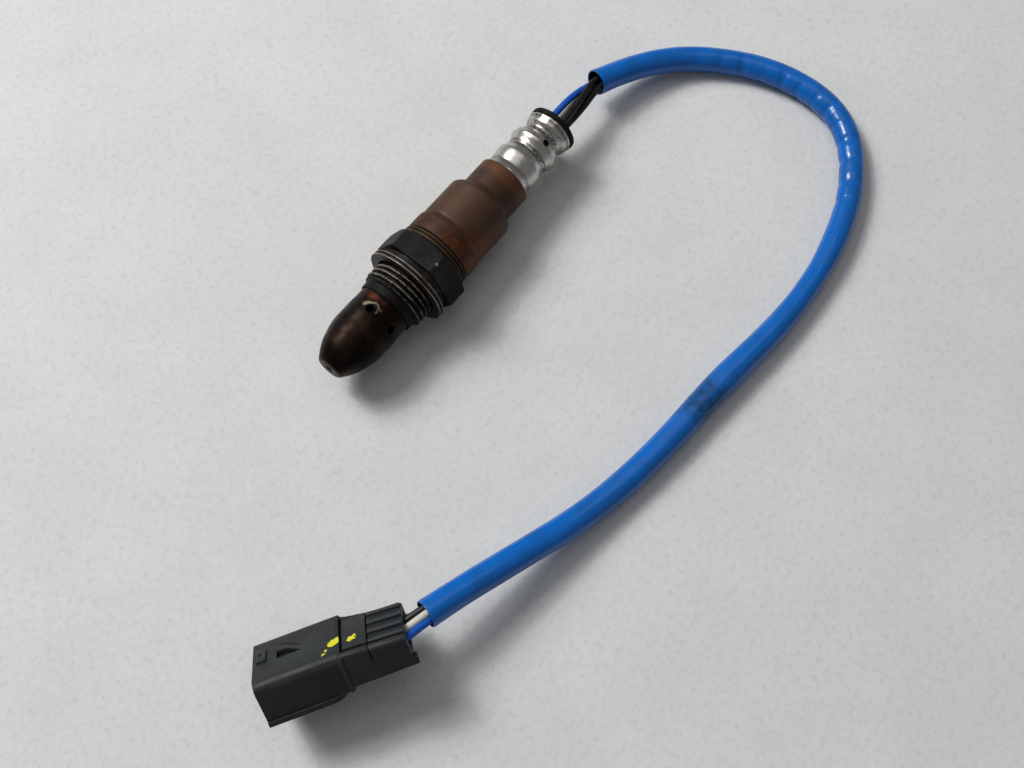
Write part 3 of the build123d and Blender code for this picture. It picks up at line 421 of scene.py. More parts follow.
def stained_stainless(f):
    """Rolled stainless sheet: silver with burnt specks and brown grime in the grooves."""
    material, add, shader, place = finish("stained_stainless", Metallic=1.0)
    grime, lines, specks = [
        add("stored", attribute_name=name) for name in ("grime", "lines", "specks")]
    patch = add("noise", place, every(2.4), 6, 0.65)
    fine = add("noise", place, every(0.7), 6, 0.75)
    grain = add("noise", add("stretch", place, (6.0, 1.0, 1.0)), every(0.8), 3)
    colour = layered(
        add, f.collar,
        (add("ramp", patch, 0.45, 0.75, 0.0, 0.7), "#a19c94"),
        (add("times", grime, add("ramp", fine, 0.42, 0.62)), "#57493c"),
        # Painted shade: dark lines along the collar's crease lines.
        (add("times", lines, 0.75), "#3d362f"),
        (add("times", add("ramp", fine, 0.56, 0.64), specks), f.stain))
    surface(shader, colour, add("ramp", patch, 0.3, 0.7, 0.26, 0.34), grain, depth=0.02)
    return material


def soft_sleeve(f):
    """Plasticised vinyl sleeve: saturated blue under a wet-looking gloss, grime rubbed on near its middle."""
    material, add, shader, place = finish(
        "soft_vinyl", Specular_IOR_Level=0.15, Coat_Weight=0.5, Coat_Roughness=0.06)
    smudge, inside = [add("stored", attribute_name=name) for name in ("smudge", "inside")]
    patch = add("noise", place, every(7.0), 5, 0.6)
    fine = add("noise", place, every(1.3), 6, 0.7)
    smear = add("times", smudge, add("noise", place, every(2.2), 6, 0.72))
    colour = layered(
        add, f.sleeve,
        (add("ramp", patch, 0.35, 0.7), "#0057a4"),
        (add("times", add("ramp", fine, 0.6, 0.75), 0.25), "#004089"),
        (add("ramp", smear, 0.26, 0.66, 0.0, 0.8), f.dirt),
        # Painted shade on the inner wall near the sleeve's mouths.
        (inside, "#02162c"))
    rough = add("times plus", smear, 0.4, add("ramp", patch, 0.3, 0.7, 0.28, 0.42))
    surface(shader, colour, rough, add("noise", place, every(0.9), 3), depth=0.03)
    return material


def moulded_plastic(f):
    """Glass-filled PBT: charcoal, fine spark-eroded grain, paler rubbed edges, dabs of yellow paint."""
    material, add, shader, place = finish("moulded_pbt", Specular_IOR_Level=0.2)
    patch = add("noise", place, every(5.0), 5, 0.6)
    grain = add("noise", place, every(0.22), 2)
    scuffs = add("noise", add("stretch", place, (1.0, 4.0, 1.0)), every(1.5), 6, 0.7)
    wear = add("stored", attribute_name="wear")
    local = add("stored place", attribute_name="local")
    ragged = add("noise", place, every(1.0), 6, 0.8)
    painted = 0.0
    for x, y, z, radius in PAINT_DABS:
        far = add("times plus", ragged, 2.4, add("distance", local, (x, y, z)))
        painted = add("larger", painted, add("ramp", far, radius + 1.25, radius + 1.1))
    colour = layered(
        add, f.plastic,
        (add("ramp", patch, 0.35, 0.7), "#101214"),
        (add("times", add("ramp", scuffs, 0.6, 0.72), 0.22), "#262a2c"),
        (add("times", wear, 0.55), "#3a3e41"),
        (painted, f.paint))
    gloss = add("ramp", patch, 0.3, 0.7, 0.42, 0.54)
    surface(shader, colour, gloss, add("times plus", painted, 2.0, grain), depth=0.02)
    return material


def bench_top(f):
    """Painted bench: pale, mottled by use, with small dark specks, matte."""
    material, add, shader, place = finish("painted_bench", Roughness=0.7)
    patch = add("noise", place, every(30.0), 6, 0.65)
    fine = add("noise", place, every(1.6), 6, 0.75)
    specks = add("noise", place, every(2.2), 4, 0.8)
    colour = layered(
        add, f.floor,
        (add("ramp", patch, 0.35, 0.68), "#d4d5d3"),
        (add("ramp", fine, 0.45, 0.75, 0.0, 0.5), "#b0b0ad"),
        (add("ramp", specks, 0.68, 0.73, 0.0, 0.7), "#8d8c88"))
    surface(shader, colour, None, fine, depth=0.03)
    return material


def ash_crust(name, colour_code):
    """Baked oil ash: dry grey-beige lumps, matte and a little uneven in colour."""
    return drifting(
        name, colour_code, "#4d463b", marks=(0.8,), spread=(0.35, 0.65), gloss=(0.75, 0.95), depth=0.02,
        grain=(0.2, 3), Specular_IOR_Level=0.2)


def lead_skin(name, colour_code, soil):
    """Extruded silicone insulation: even colour, faint grime in patches, a soft gloss."""
    return drifting(
        name, colour_code, soil, marks=(4.0, 5), spread=(0.5, 0.75, 0.0, 0.5), gloss=(0.36, 0.55),
        depth=0.015, grain=(0.4, 3), Specular_IOR_Level=0.35)


def moulded_rubber(f):
    """Moulded fluoro-rubber: soft black with a dusty bloom."""
    return drifting(
        "moulded_rubber", f.rubber, "#100f0e", marks=(1.8, 5), spread=(0.45, 0.75), gloss=(0.5, 0.75),
        depth=0.03, grain=(0.3, 4), Specular_IOR_Level=0.18)


def fired_ceramic(f):
    """Pressed and fired ceramic: chalk white with faint grey mottling and a powdery skin."""
    return drifting(
        "fired_ceramic", f.ceramic, "#b9b4a9", marks=(1.5, 5), spread=(0.35, 0.7), gloss=(0.7, 0.9),
        depth=0.03, grain=(0.25, 4))


def seal_rubber(f):
    """Soft seal rubber: warm brown with a matte skin."""
    return drifting("seal_rubber", "#5d4030", "#74513e", marks=(0.9,), gloss=(0.58, 0.75), depth=0.02)


def membrane_felt(f):
    """Porous membrane: felted fibres, soaked dark by fumes."""
    return drifting(
        "porous_membrane", "#15110f", "#221c18", marks=(0.35, 6, 0.75, 1.5), gloss=(0.85, 0.95), depth=0.04)


def bright_spring(f):
    """Cold-rolled spring steel inside the body: plain satin with fine rolling lines."""
    return drifting(
        "spring_steel", "#8c8883", "#a7a39d", marks=(0.8, 3), gloss=(0.3, 0.45), depth=0.01,
        stretch=(1.0, 8.0, 8.0), Metallic=1.0)


def tin_plate(f):
    """Tin-plated brass: soft grey metal with faint drawing lines."""
    return drifting(
        "tin_plated_brass", f.terminal, "#8f8a7f", marks=(0.6, 3), gloss=(0.28, 0.42), depth=0.01,
        stretch=(1.0, 5.0, 5.0), Metallic=1.0)


# ----------------------------------------------------------------------------- meshes
def soften(corners, steps=4):
    """Closed section from (x, r, rounding) corners, each corner rounded by a small curve."""
    count = len(corners)
    points = []
    for i, (x, r, rounding) in enumerate(corners):
        here = np.array([x, r])
        before = np.array(corners[i - 1][:2]) - here
        after = np.array(corners[(i + 1) % count][:2]) - here
        if not rounding:
            points.append(here)
            continue
        run_in, run_out = np.linalg.norm(before), np.linalg.norm(after)
        start = here + before / max(run_in, 1e-9) * min(rounding, 0.45 * run_in)
        end = here + after / max(run_out, 1e-9) * min(rounding, 0.45 * run_out)
        for t in np.linspace(0, 1, steps + 1):
            points.append((1 - t) ** 2 * start + 2 * t * (1 - t) * here + t ** 2 * end)
    return np.array(points)


def angles(count):
    """Evenly spaced angles of one turn, in radians."""
    return np.linspace(0, TURN, count, endpoint=False)


def wobble(angle, seed, reach):
    """Gentle unevenness round the axis, between about -reach and reach."""
    draw = np.random.default_rng(seed)
    total = 0
    for waves in (2, 3, 5, 8, 13):
        total = total + np.sin(waves * angle + draw.uniform(0, TURN)) / math.sqrt(waves)
    return reach * total / 2


def turned(section, count=288, reach=None):
    """Rings of points, in mm, of a section turned about X; reach changes a point's (x, r) by its angle."""
    phi = angles(count)
    x = np.repeat(section[:, :1], count, axis=1)
    r = np.repeat(section[:, 1:2], count, axis=1)
    if reach:
        x, r = reach(x, r, phi[None, :])
    return np.stack([x, r * np.cos(phi), r * np.sin(phi)], axis=-1)


def fresh(name, data):
    """New object in the scene."""
    made = bpy.data.objects.new(name, data)
    bpy.context.scene.collection.objects.link(made)
    return made


def skin(name, rings):
    """Closed mesh through closed rings of points in mm; the last ring joins the first."""
    rows, around, _ = rings.shape
    here = np.arange(rows * around).reshape(rows, around)
    beside = np.roll(here, -1, axis=1)
    faces = np.stack([here, beside, np.roll(beside, -1, axis=0), np.roll(here, -1, axis=0)], axis=-1)
    mesh = bpy.data.meshes.new(name)
    mesh.from_pydata((rings.reshape(-1, 3) * METRE).tolist(), [], faces.reshape(-1, 4).tolist())
    return fresh(name, mesh)


def settle(made, sharp=38.0):
    """Merges doubles, turns faces outwards and shades smooth up to the sharp angle."""
    work = bmesh.new()
    work.from_mesh(made.data)
    bmesh.ops.remove_doubles(work, verts=work.verts, dist=1e-7)
    bmesh.ops.recalc_face_normals(work, faces=work.faces)
    work.to_mesh(made.data)
    work.free()
    made.data.polygons.foreach_set("use_smooth", [True] * len(made.data.polygons))
    made.data.set_sharp_from_angle(angle=math.radians(sharp))
    made.data.update()
    return made


def evaluated(made):
    """Replaces an object's mesh by its result under its modifiers, which are removed."""
    graph = bpy.context.evaluated_depsgraph_get()
    result = bpy.data.meshes.new_from_object(made.evaluated_get(graph))
    made.modifiers.clear()
    made.data = result
    return made


def rod(work, centre, axis, radius, length, sides=32):
    """Adds a round bar, in mm, to a bmesh."""
    turn = Vector((0, 0, 1)).rotation_difference(Vector(axis)).to_matrix().to_4x4()
    bmesh.ops.create_cone(
        work, cap_ends=True, segments=sides, radius1=mm(radius), radius2=mm(radius), depth=mm(length),
        matrix=Matrix.Translation(Vector(centre) * METRE) @ turn)


def cut(made, fill):
    """Cuts from a piece what fill(bmesh) builds."""
    work = bmesh.new()
    fill(work)
    bmesh.ops.recalc_face_normals(work, faces=work.faces)
    mesh = bpy.data.meshes.new("cutter")
    work.to_mesh(mesh)
    work.free()
    cutter = fresh("cutter", mesh)
    modifier = made.modifiers.new("cut", "BOOLEAN")
    modifier.operation = "DIFFERENCE"
    modifier.solver = "EXACT"
    modifier.object = cutter
    evaluated(made)
    bpy.data.objects.remove(cutter)
    bpy.data.meshes.remove(mesh)
    return made


def ring_of_holes(made, station, out, radius, count, first=0.0, sides=32):
    """Cuts round holes through a turned wall, the first at an angle from the top, sizes in mm."""
    def holes(work):
        for i in range(count):
            turn = first + TURN * i / count
            axis = (0, math.sin(turn), math.cos(turn))
            rod(work, (station, axis[1] * out, axis[2] * out), axis, radius, 4.0, sides)

    return cut(made, holes)


def write(made, name, values):
    """Stores one number for each vertex."""
    layer = made.data.attributes.new(name, "FLOAT", "POINT")
    layer.data.foreach_set("value", np.ascontiguousarray(values, dtype=np.float32))


def places(made):
    """Vertices in mm, with their distance from the sensor's axis and angle from straight up."""
    co = np.empty(len(made.data.vertices) * 3, np.float32)
    made.data.vertices.foreach_get("co", co)
    co = co.reshape(-1, 3).astype(float) / METRE
    return co, np.hypot(co[:, 1], co[:, 2]), np.degrees(np.arctan2(co[:, 1], co[:, 2]))


def edge_wear(made, full=0.4):
    """How much each vertex stands on an outward edge."""
    work = bmesh.new()
    work.from_mesh(made.data)
    values = np.zeros(len(work.verts))
    for edge in work.edges:
        if len(edge.link_faces) == 2:
            bend = edge.calc_face_angle_signed(0.0) / full
            for vertex in edge.verts:
                values[vertex.index] = max(values[vertex.index], bend)
    work.free()
    return np.clip(values, 0, 1)


def grown(made, inputs, build):
    """Replaces an object's mesh by what build(add, given) makes of it in Geometry Nodes with named inputs."""
    tree = bpy.data.node_groups.new(made.name, "GeometryNodeTree")
    tree.is_modifier = True
    face = tree.interface
    face.new_socket("Surface", in_out="INPUT", socket_type="NodeSocketGeometry")
    kinds = {"Seed": "NodeSocketInt", "Count": "NodeSocketInt", "Material": "NodeSocketMaterial"}
    for label in inputs:
        face.new_socket(label, in_out="INPUT", socket_type=kinds.get(label, "NodeSocketFloat"))
    face.new_socket("Geometry", in_out="OUTPUT", socket_type="NodeSocketGeometry")
    add = functools.partial(add_node, tree)
    given = add("given").outputs
    real = add("realized", build(add, given))
    add("result", add("dressed", real, given["Material"]))
    modifier = made.modifiers.new("grown", "NODES")
    modifier.node_group = tree
    for socket in face.items_tree:
        if socket.in_out == "INPUT" and socket.name in inputs:
            modifier[socket.identifier] = inputs[socket.name]
    return evaluated(made)


def crumbs(name, source, where, material, least, density, size, seed):
    """Lumps of deposit where a stored number is over the least: density a square metre, size in mm."""
    def build(add, given):
        rich = add("greater", add("named number", where), given["Least"])
        spots = add("scatter", given["Surface"], rich, given["Density"], given["Seed"]).outputs
        lump = add("lump", given["Size"])
        scale = add("random scale", (0.35, 0.35, 0.25), (1.5, 1.2, 0.7), given["Seed"])
        return add("copies", spots["Points"], lump, spots["Rotation"], scale)

    inputs = {"Density": density, "Size": mm(size), "Least": least, "Seed": seed, "Material": material}
    return settle(grown(fresh(name, source.data.copy()), inputs, build), 60.0)


def spot(*offsets):
    """Soft spot or stripe, 1 at its middle, from pairs of an offset and its spread."""
    return np.exp(-sum((offset / spread) ** 2 for offset, spread in offsets))


def ramp(value, low, high):
    """Smooth step from 0 at low to 1 at high."""
    t = np.clip((value - low) / (high - low), 0, 1)
    return t * t * (3 - 2 * t)


def dress(made, material, slot, *nodes):
    """Gives a piece its material and body, and lets it stand for its CAD nodes; the slot is not used."""
    made.data.materials.clear()
    made.data.materials.append(material)
    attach(made, "root")
    if nodes:
        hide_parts(*nodes)
    return made


def paint_node(node, material):
    """Gives a CAD part that stays as it is its material."""
    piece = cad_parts[node]
    if not piece.material_slots:
        piece.data.materials.append(material)
    for entry in piece.material_slots:
        entry.material = material


# ----------------------------------------------------------------------------- pieces
class SENSOR_OT_shell(bpy.types.Operator):
    """Steel shell: hexagon with its crown, cut thread, pilot and weld bead"""
    bl_idname = "sensor.shell"
    bl_label = "Make the shell"

    def execute(self, context):
        s = sizes(context.scene.sensor_shell)
        casing = sizes(context.scene.sensor_casing)
        seat = sizes(context.scene.sensor_cover).neck_radius
        f = context.scene.sensor_finishes
        nose = soften([
            (COVER_SEAT, seat, 0),
            (s.nose_front, seat, 0.05),
            (s.nose_front, s.pilot_radius - 0.25, 0.1),
            (s.nose_front - 0.25, s.pilot_radius, 0.15),
        ])
        rings = []
        for phi in angles(480):
            rear = self.rear(phi, s, casing.front_radius - casing.wall)
            section = np.concatenate([nose, self.thread(phi, s), rear])
            rings.append(np.stack([
                section[:, 0], section[:, 1] * math.cos(phi), section[:, 1] * math.sin(phi)], axis=1))
        made = settle(skin("shell", np.stack(rings, axis=1)), 50.0)
        self.weather(made, s)
        dress(made, scaled_steel(f), "shell_steel", "metal_shell")
        crust = ash_crust("baked_deposit", f.deposit)
        lumps = crumbs("thread_crumbs", made, "crusted", crust, least=0.75, density=4e6, size=0.17, seed=7)
        dress(lumps, crust, "shell_steel")
        return {"FINISHED"}

    @staticmethod
    def thread(phi, s):
        """Worn thread at one angle: its height follows the helix and runs out at the pilot."""
        root = s.thread_radius - s.thread_depth
        stations = np.arange(s.pilot_rear, s.thread_start - 0.01, -0.1)
        phase = ((stations - 0.5) / s.thread_pitch - phi / TURN) % 1.0
        height = ramp(np.abs(2 * phase - 1), 0.12, 0.86)
        limit = np.interp(stations, [s.thread_end, s.pilot_rear], [s.thread_radius, s.pilot_radius])
        crest = s.thread_radius + wobble(phi, 3, 0.03) + 0.02 * np.sin(9 * phi + 4 * stations)
        outside = np.minimum(limit, root + (crest - root) * height)
        outside = np.maximum(outside, np.where(stations > s.thread_end + 0.3, s.pilot_radius, 0))
        return np.stack([stations, outside], axis=1)

    def rear(self, phi, s, inner):
        """Shoulder ring, chamfered hexagon, crown, weld bead and bores at one angle."""
        undercut = 8.3
        rear_bore = 6.6
        front_bore = 4.6
        step = 1.2
        overlap = s.shell_rear - 3.0
        reach = self.hexagon(phi, s.across_flats / 2, s.hex_corner)
        face = min(reach - 0.08, s.front_chamfer)
        return soften([
            (s.thread_start, undercut, 0),
            (s.ring_front, undercut, 0.1),
            (s.ring_front, s.ring_radius, 0.2),
            (s.hex_front, s.ring_radius, 0.15),
            (s.hex_front, face, 0.15),
            (s.hex_front - (reach - face) * 0.58, reach, 0.3),
            (s.hex_rear + (reach - s.crown_radius) * 0.7, reach, 0.45),
            (s.hex_rear, s.crown_radius, 0.12),
            (s.hex_rear, s.bead_radius - 0.45, 0.05),
            (s.hex_rear - 0.2, s.bead_radius - 0.1, 0.15),
            (s.hex_rear - 0.8, s.bead_radius, 0.2),
            (s.hex_rear - 1.0, s.bead_radius - 0.4, 0.1),
            (s.hex_rear - 1.15, s.bead_radius - 0.3, 0.1),
            (s.hex_rear - 1.3, s.bead_radius - 0.08, 0.12),
            (s.shell_rear + 0.25, s.bead_radius - 0.12, 0.2),
            (s.shell_rear + 0.1, s.bead_radius - 0.5, 0.05),
            (s.shell_rear, inner, 0),
            (overlap, inner, 0),
            (overlap, rear_bore, 0),
            (step, rear_bore, 0),
            (step, front_bore, 0),
            (COVER_SEAT, front_bore, 0),
        ])

    @staticmethod
    def weather(made, s):
        """Deposit on the crests, thinner away from the upper side, soot in the valleys, tint and wear."""
        root = s.thread_radius - s.thread_depth
        co, r, turn = places(made)
        x = co[:, 0]
        threaded = ramp(x, 0.0, 0.3) * (1 - ramp(x, 5.3, 5.7))
        aloft = (r - root) / s.thread_depth * threaded
        write(made, "crest", np.clip(aloft, 0, 1) - 0.12 * ramp(np.abs(turn + 35), 40, 110))
        behind = ramp(-x, -s.hex_rear + 0.1, -s.hex_rear + 0.2)
        write(made, "bead", behind * ramp(r, s.bead_radius - 0.16, s.bead_radius - 0.04))
        valleys = threaded * (1 - ramp(r, root, s.thread_radius - 0.3))
        write(made, "soot", np.maximum(ramp(x, 5.5, 6.2), valleys))
        rubbed = ramp(x, s.hex_front - 1.4, s.hex_front + 0.1) * (x < s.ring_front)
        rubbed = rubbed * ramp(-np.abs(turn - 48), -34, -12)
        edges = edge_wear(made) * (1 - threaded) * (x < s.ring_front) * (x > s.hex_rear - 0.05)
        write(made, "wear", np.maximum(0.6 * edges, 0.8 * rubbed))
        write(made, "crusted", np.clip(aloft, 0, 1) * ramp(-np.abs(turn + 30), -75, -25))

    @staticmethod
    def hexagon(phi, flat, corner):
        """Distance from the axis to the rounded hexagon, whose corners are at 0, 60, ... degrees."""
        off_flat = abs(phi % (TURN / 6) - TURN / 12)
        limit = math.atan2((flat - corner) * math.tan(TURN / 12), flat)
        if off_flat <= limit:
            return flat / math.cos(off_flat)
        centre = (flat - corner) / math.cos(TURN / 12)
        aside = TURN / 12 - off_flat
        return centre * math.cos(aside) + math.sqrt(corner ** 2 - (centre * math.sin(aside)) ** 2)


class SENSOR_OT_gasket(bpy.types.Operator):
    """Folded sheet gasket with three crushed leaves"""
    bl_idname = "sensor.gasket"
    bl_label = "Make the gasket"

    def execute(self, context):
        s = sizes(context.scene.sensor_shell)
        bore = s.thread_radius + 0.15
        edge = bore + 2.5
        pitch = -s.ring_front / 3
        corners = [(0.0, bore, 0.1)]
        for leaf, rim in enumerate((edge, edge - 0.2, edge - 0.02)):
            front = -leaf * pitch
            corners += [
                (front, rim - 0.5, 0.3),
                (front - 0.06, rim, 0.18),
                (front - pitch + 0.12, rim, 0.18),
                (front - pitch + 0.03, rim - 0.35, 0.04),
            ]
        corners[-1] = (s.ring_front, edge - 0.5, 0.25)
        corners.append((s.ring_front, bore, 0.1))
        section = soften(corners)

        def crush(x, r, phi):
            outer = ramp(r, edge - 1.2, edge)
            sway = wobble(phi, 11, 0.05) * outer
            lean = wobble(phi + x * 0.5, 12, 0.06) * outer
            inside = np.clip(x + sway, s.ring_front, 0)
            return inside, np.minimum(r + lean, edge + 0.04)

        made = settle(skin("gasket", turned(section, 320, crush)), 60.0)
        co, r, _ = places(made)
        # Painted highlight along each leaf's rim, strongest on the front and rear leaves.
        rim = ramp(r, edge - 0.16, edge - 0.02)
        ends = np.maximum(ramp(co[:, 0], -0.42, -0.2), ramp(-co[:, 0], 1.25, 1.5))
        write(made, "rim", rim * (0.7 + 0.3 * ends))
        dress(made, gasket_steel(context.scene.sensor_finishes), "gasket_steel", "seat_gasket")
        return {"FINISHED"}


class SENSOR_OT_cover(bpy.types.Operator):
    """Outer probe cover with its gas holes, ring mark and tip hole"""
    bl_idname = "sensor.cover"
    bl_label = "Make the probe cover"

    def execute(self, context):
        s = sizes(context.scene.sensor_cover)
        f = context.scene.sensor_finishes

        def press(x, r, phi):
            return x, r + wobble(phi, 21, 0.02) * ramp(x, 8.0, 12.0)

        made = settle(skin("cover", turned(self.section(s), 300, press)))
        ring_of_holes(made, s.gas_station, s.belly_radius, s.gas_hole, s.gas_count, sides=40)
        self.weather(settle(made, 32.0), s)
        dress(made, sooted_steel(f), "cover_steel", "outer_cover")
        crust = ash_crust("ash_crust", f.ash)
        lumps = crumbs("ash_crumbs", made, "ash", crust, least=0.5, density=9e6, size=0.12, seed=5)
        dress(lumps, crust, "cover_steel")
        return {"FINISHED"}

    @staticmethod
    def section(s):
        """Neck, belly, taper and flat tip, with the ring mark round its hole, and the sheet's inside."""
        neck = np.array([(x, s.neck_radius + (s.belly_radius - s.neck_radius) * ramp(x, 10.0, 14.0))
                         for x in np.arange(COVER_SEAT, s.belly_end - 0.2, 0.4)])
        # The taper falls slowly at first and steeper towards the tip, smoothed from twelve stations.
        t = np.linspace(0, 1, 30)
        fall = (s.belly_radius - s.tip_radius) * np.interp(
            t, [0, 0.15, 0.3, 0.39, 0.46, 0.555, 0.645, 0.735, 0.818, 0.87, 0.91, 1.0],
            [0, 0.035, 0.126, 0.184, 0.244, 0.309, 0.407, 0.528, 0.65, 0.735, 0.81, 1.0])
        for _ in range(3):
            fall[1:-1] = (fall[:-2] + 2 * fall[1:-1] + fall[2:]) / 4
        stations = s.belly_end + (s.length - s.belly_end) * t
        taper = np.stack([stations, s.belly_radius - fall], axis=1)[:-3]
        # A quadratic bend leads into the flat tip.
        start, knee = taper[-1], (s.length, s.tip_radius + 0.35)
        bend = [((1 - k) ** 2 * start[0] + (1 - (1 - k) ** 2) * s.length,
                 (1 - k) ** 2 * start[1] + 2 * k * (1 - k) * knee[1] + k ** 2 * (s.tip_radius - 0.35))
                for k in np.linspace(0.14, 1, 8)]
        mark = [(s.length, s.tip_radius - 0.5), (s.length - 0.1, s.tip_radius - 0.62),
                (s.length - 0.1, s.tip_radius - 0.95), (s.length, s.tip_radius - 1.1),
                (s.length, 1.75), (s.length - 0.12, 1.62), (s.length - 0.12, s.tip_hole + 0.12),
                (s.length - 0.2, s.tip_hole)]
        floor = s.length - s.wall - 0.1
        tip = [(floor, s.tip_hole), (floor, s.tip_radius - 0.6)]
        inner = np.concatenate([neck[::3], taper[:-2:3]])[::-1] - np.array([0.0, s.wall])
        return np.concatenate([neck, taper, bend, mark, tip, inner])

    @staticmethod
    def weather(made, s):
        """Rust and ash round the upper gas hole, and wear at the tip; aside is how far round from the top."""
        co, r, turn = places(made)
        x = co[:, 0]
        aside = np.radians(turn) * s.belly_radius
        rust = spot((x - 9.3, 1.2), (aside + 2.2, 3.2))
        rust = np.maximum(rust, 0.7 * spot((x - 9.0, 0.9), (aside - 1.8, 2.6)))
        gap = np.hypot(x - s.gas_station, aside)
        behind = ramp(s.gas_station + 1.2 - x, 0.0, 1.6)
        arc = gap - 2.0 - 0.25 * np.sin(aside * 1.7)
        ash = spot((arc, 0.5)) * behind * ramp(4.4 - np.abs(aside), 0, 2)
        ash = np.maximum(ash, 0.8 * spot((x - 11.9, 0.8), (aside + 2.4, 0.8)))
        ash = np.maximum(ash, 0.9 * spot((x - 11.1, 0.6), (aside - 2.2, 0.7)))
        outside = r > s.neck_radius - 0.25
        write(made, "rust", rust * outside)
        write(made, "ash", ash * outside)
        write(made, "wear", edge_wear(made) * (x > s.length - 0.5) * (x > s.length - s.wall + 0.05))


class SENSOR_OT_casing(bpy.types.Operator):
    """Deep-drawn rear casing with its crease, shoulder and neck"""
    bl_idname = "sensor.casing"
    bl_label = "Make the rear casing"

    def execute(self, context):
        s = sizes(context.scene.sensor_casing)
        start = sizes(context.scene.sensor_shell).shell_rear
        stations = np.arange(s.crease - 2.5, s.shoulder_front + 1.2, -1.5)
        long_middle = [(x, s.body_radius, 0) for x in stations]
        middle = (s.body_radius + s.neck_radius) / 2
        section = soften([
            (start, s.front_radius - s.wall, 0),
            (start, s.front_radius - 0.02, 0.25),
            (start - 2.0, s.front_radius + 0.02, 0),
            (s.crease + 1.6, s.front_radius, 0.4),
            (s.crease + 0.5, s.body_radius + 0.06, 0.4),
            (s.crease, s.body_radius - 0.14, 0.3),
            (s.crease - 0.6, s.body_radius + 0.02, 0.4),
            *long_middle,
            (s.shoulder_front, s.body_radius, 0.7),
            (s.shoulder_front - 0.9, middle + 0.35, 0.4),
            (s.shoulder_rear + 0.3, s.neck_radius + 0.25, 0.4),
            (s.shoulder_rear - 0.5, s.neck_radius, 0.5),
            (s.rear + 3.0, s.neck_radius, 0),
            (s.rear, s.neck_radius, 0.22),
            (s.rear, s.neck_radius - s.wall + 0.02, 0.08),
            (s.shoulder_rear, s.neck_radius - s.wall, 0.3),
            (s.shoulder_front, s.body_radius - s.wall - 0.1, 0.4),
            (s.crease, s.body_radius - s.wall - 0.15, 0.2),
            (s.crease + 1.6, s.front_radius - s.wall, 0.3),
        ], 5)

        def draw_in(x, r, phi):
            return x, r + wobble(phi + 0.08 * x, 31, 0.03) * ramp(-x, 14, 20) * (1 - ramp(-x, 33, 37))

        made = settle(skin("casing", turned(section, 288, draw_in)), 50.0)
        dress(made, tinted_casing(context.scene.sensor_finishes), "casing_steel", "rear_casing")
        return {"FINISHED"}


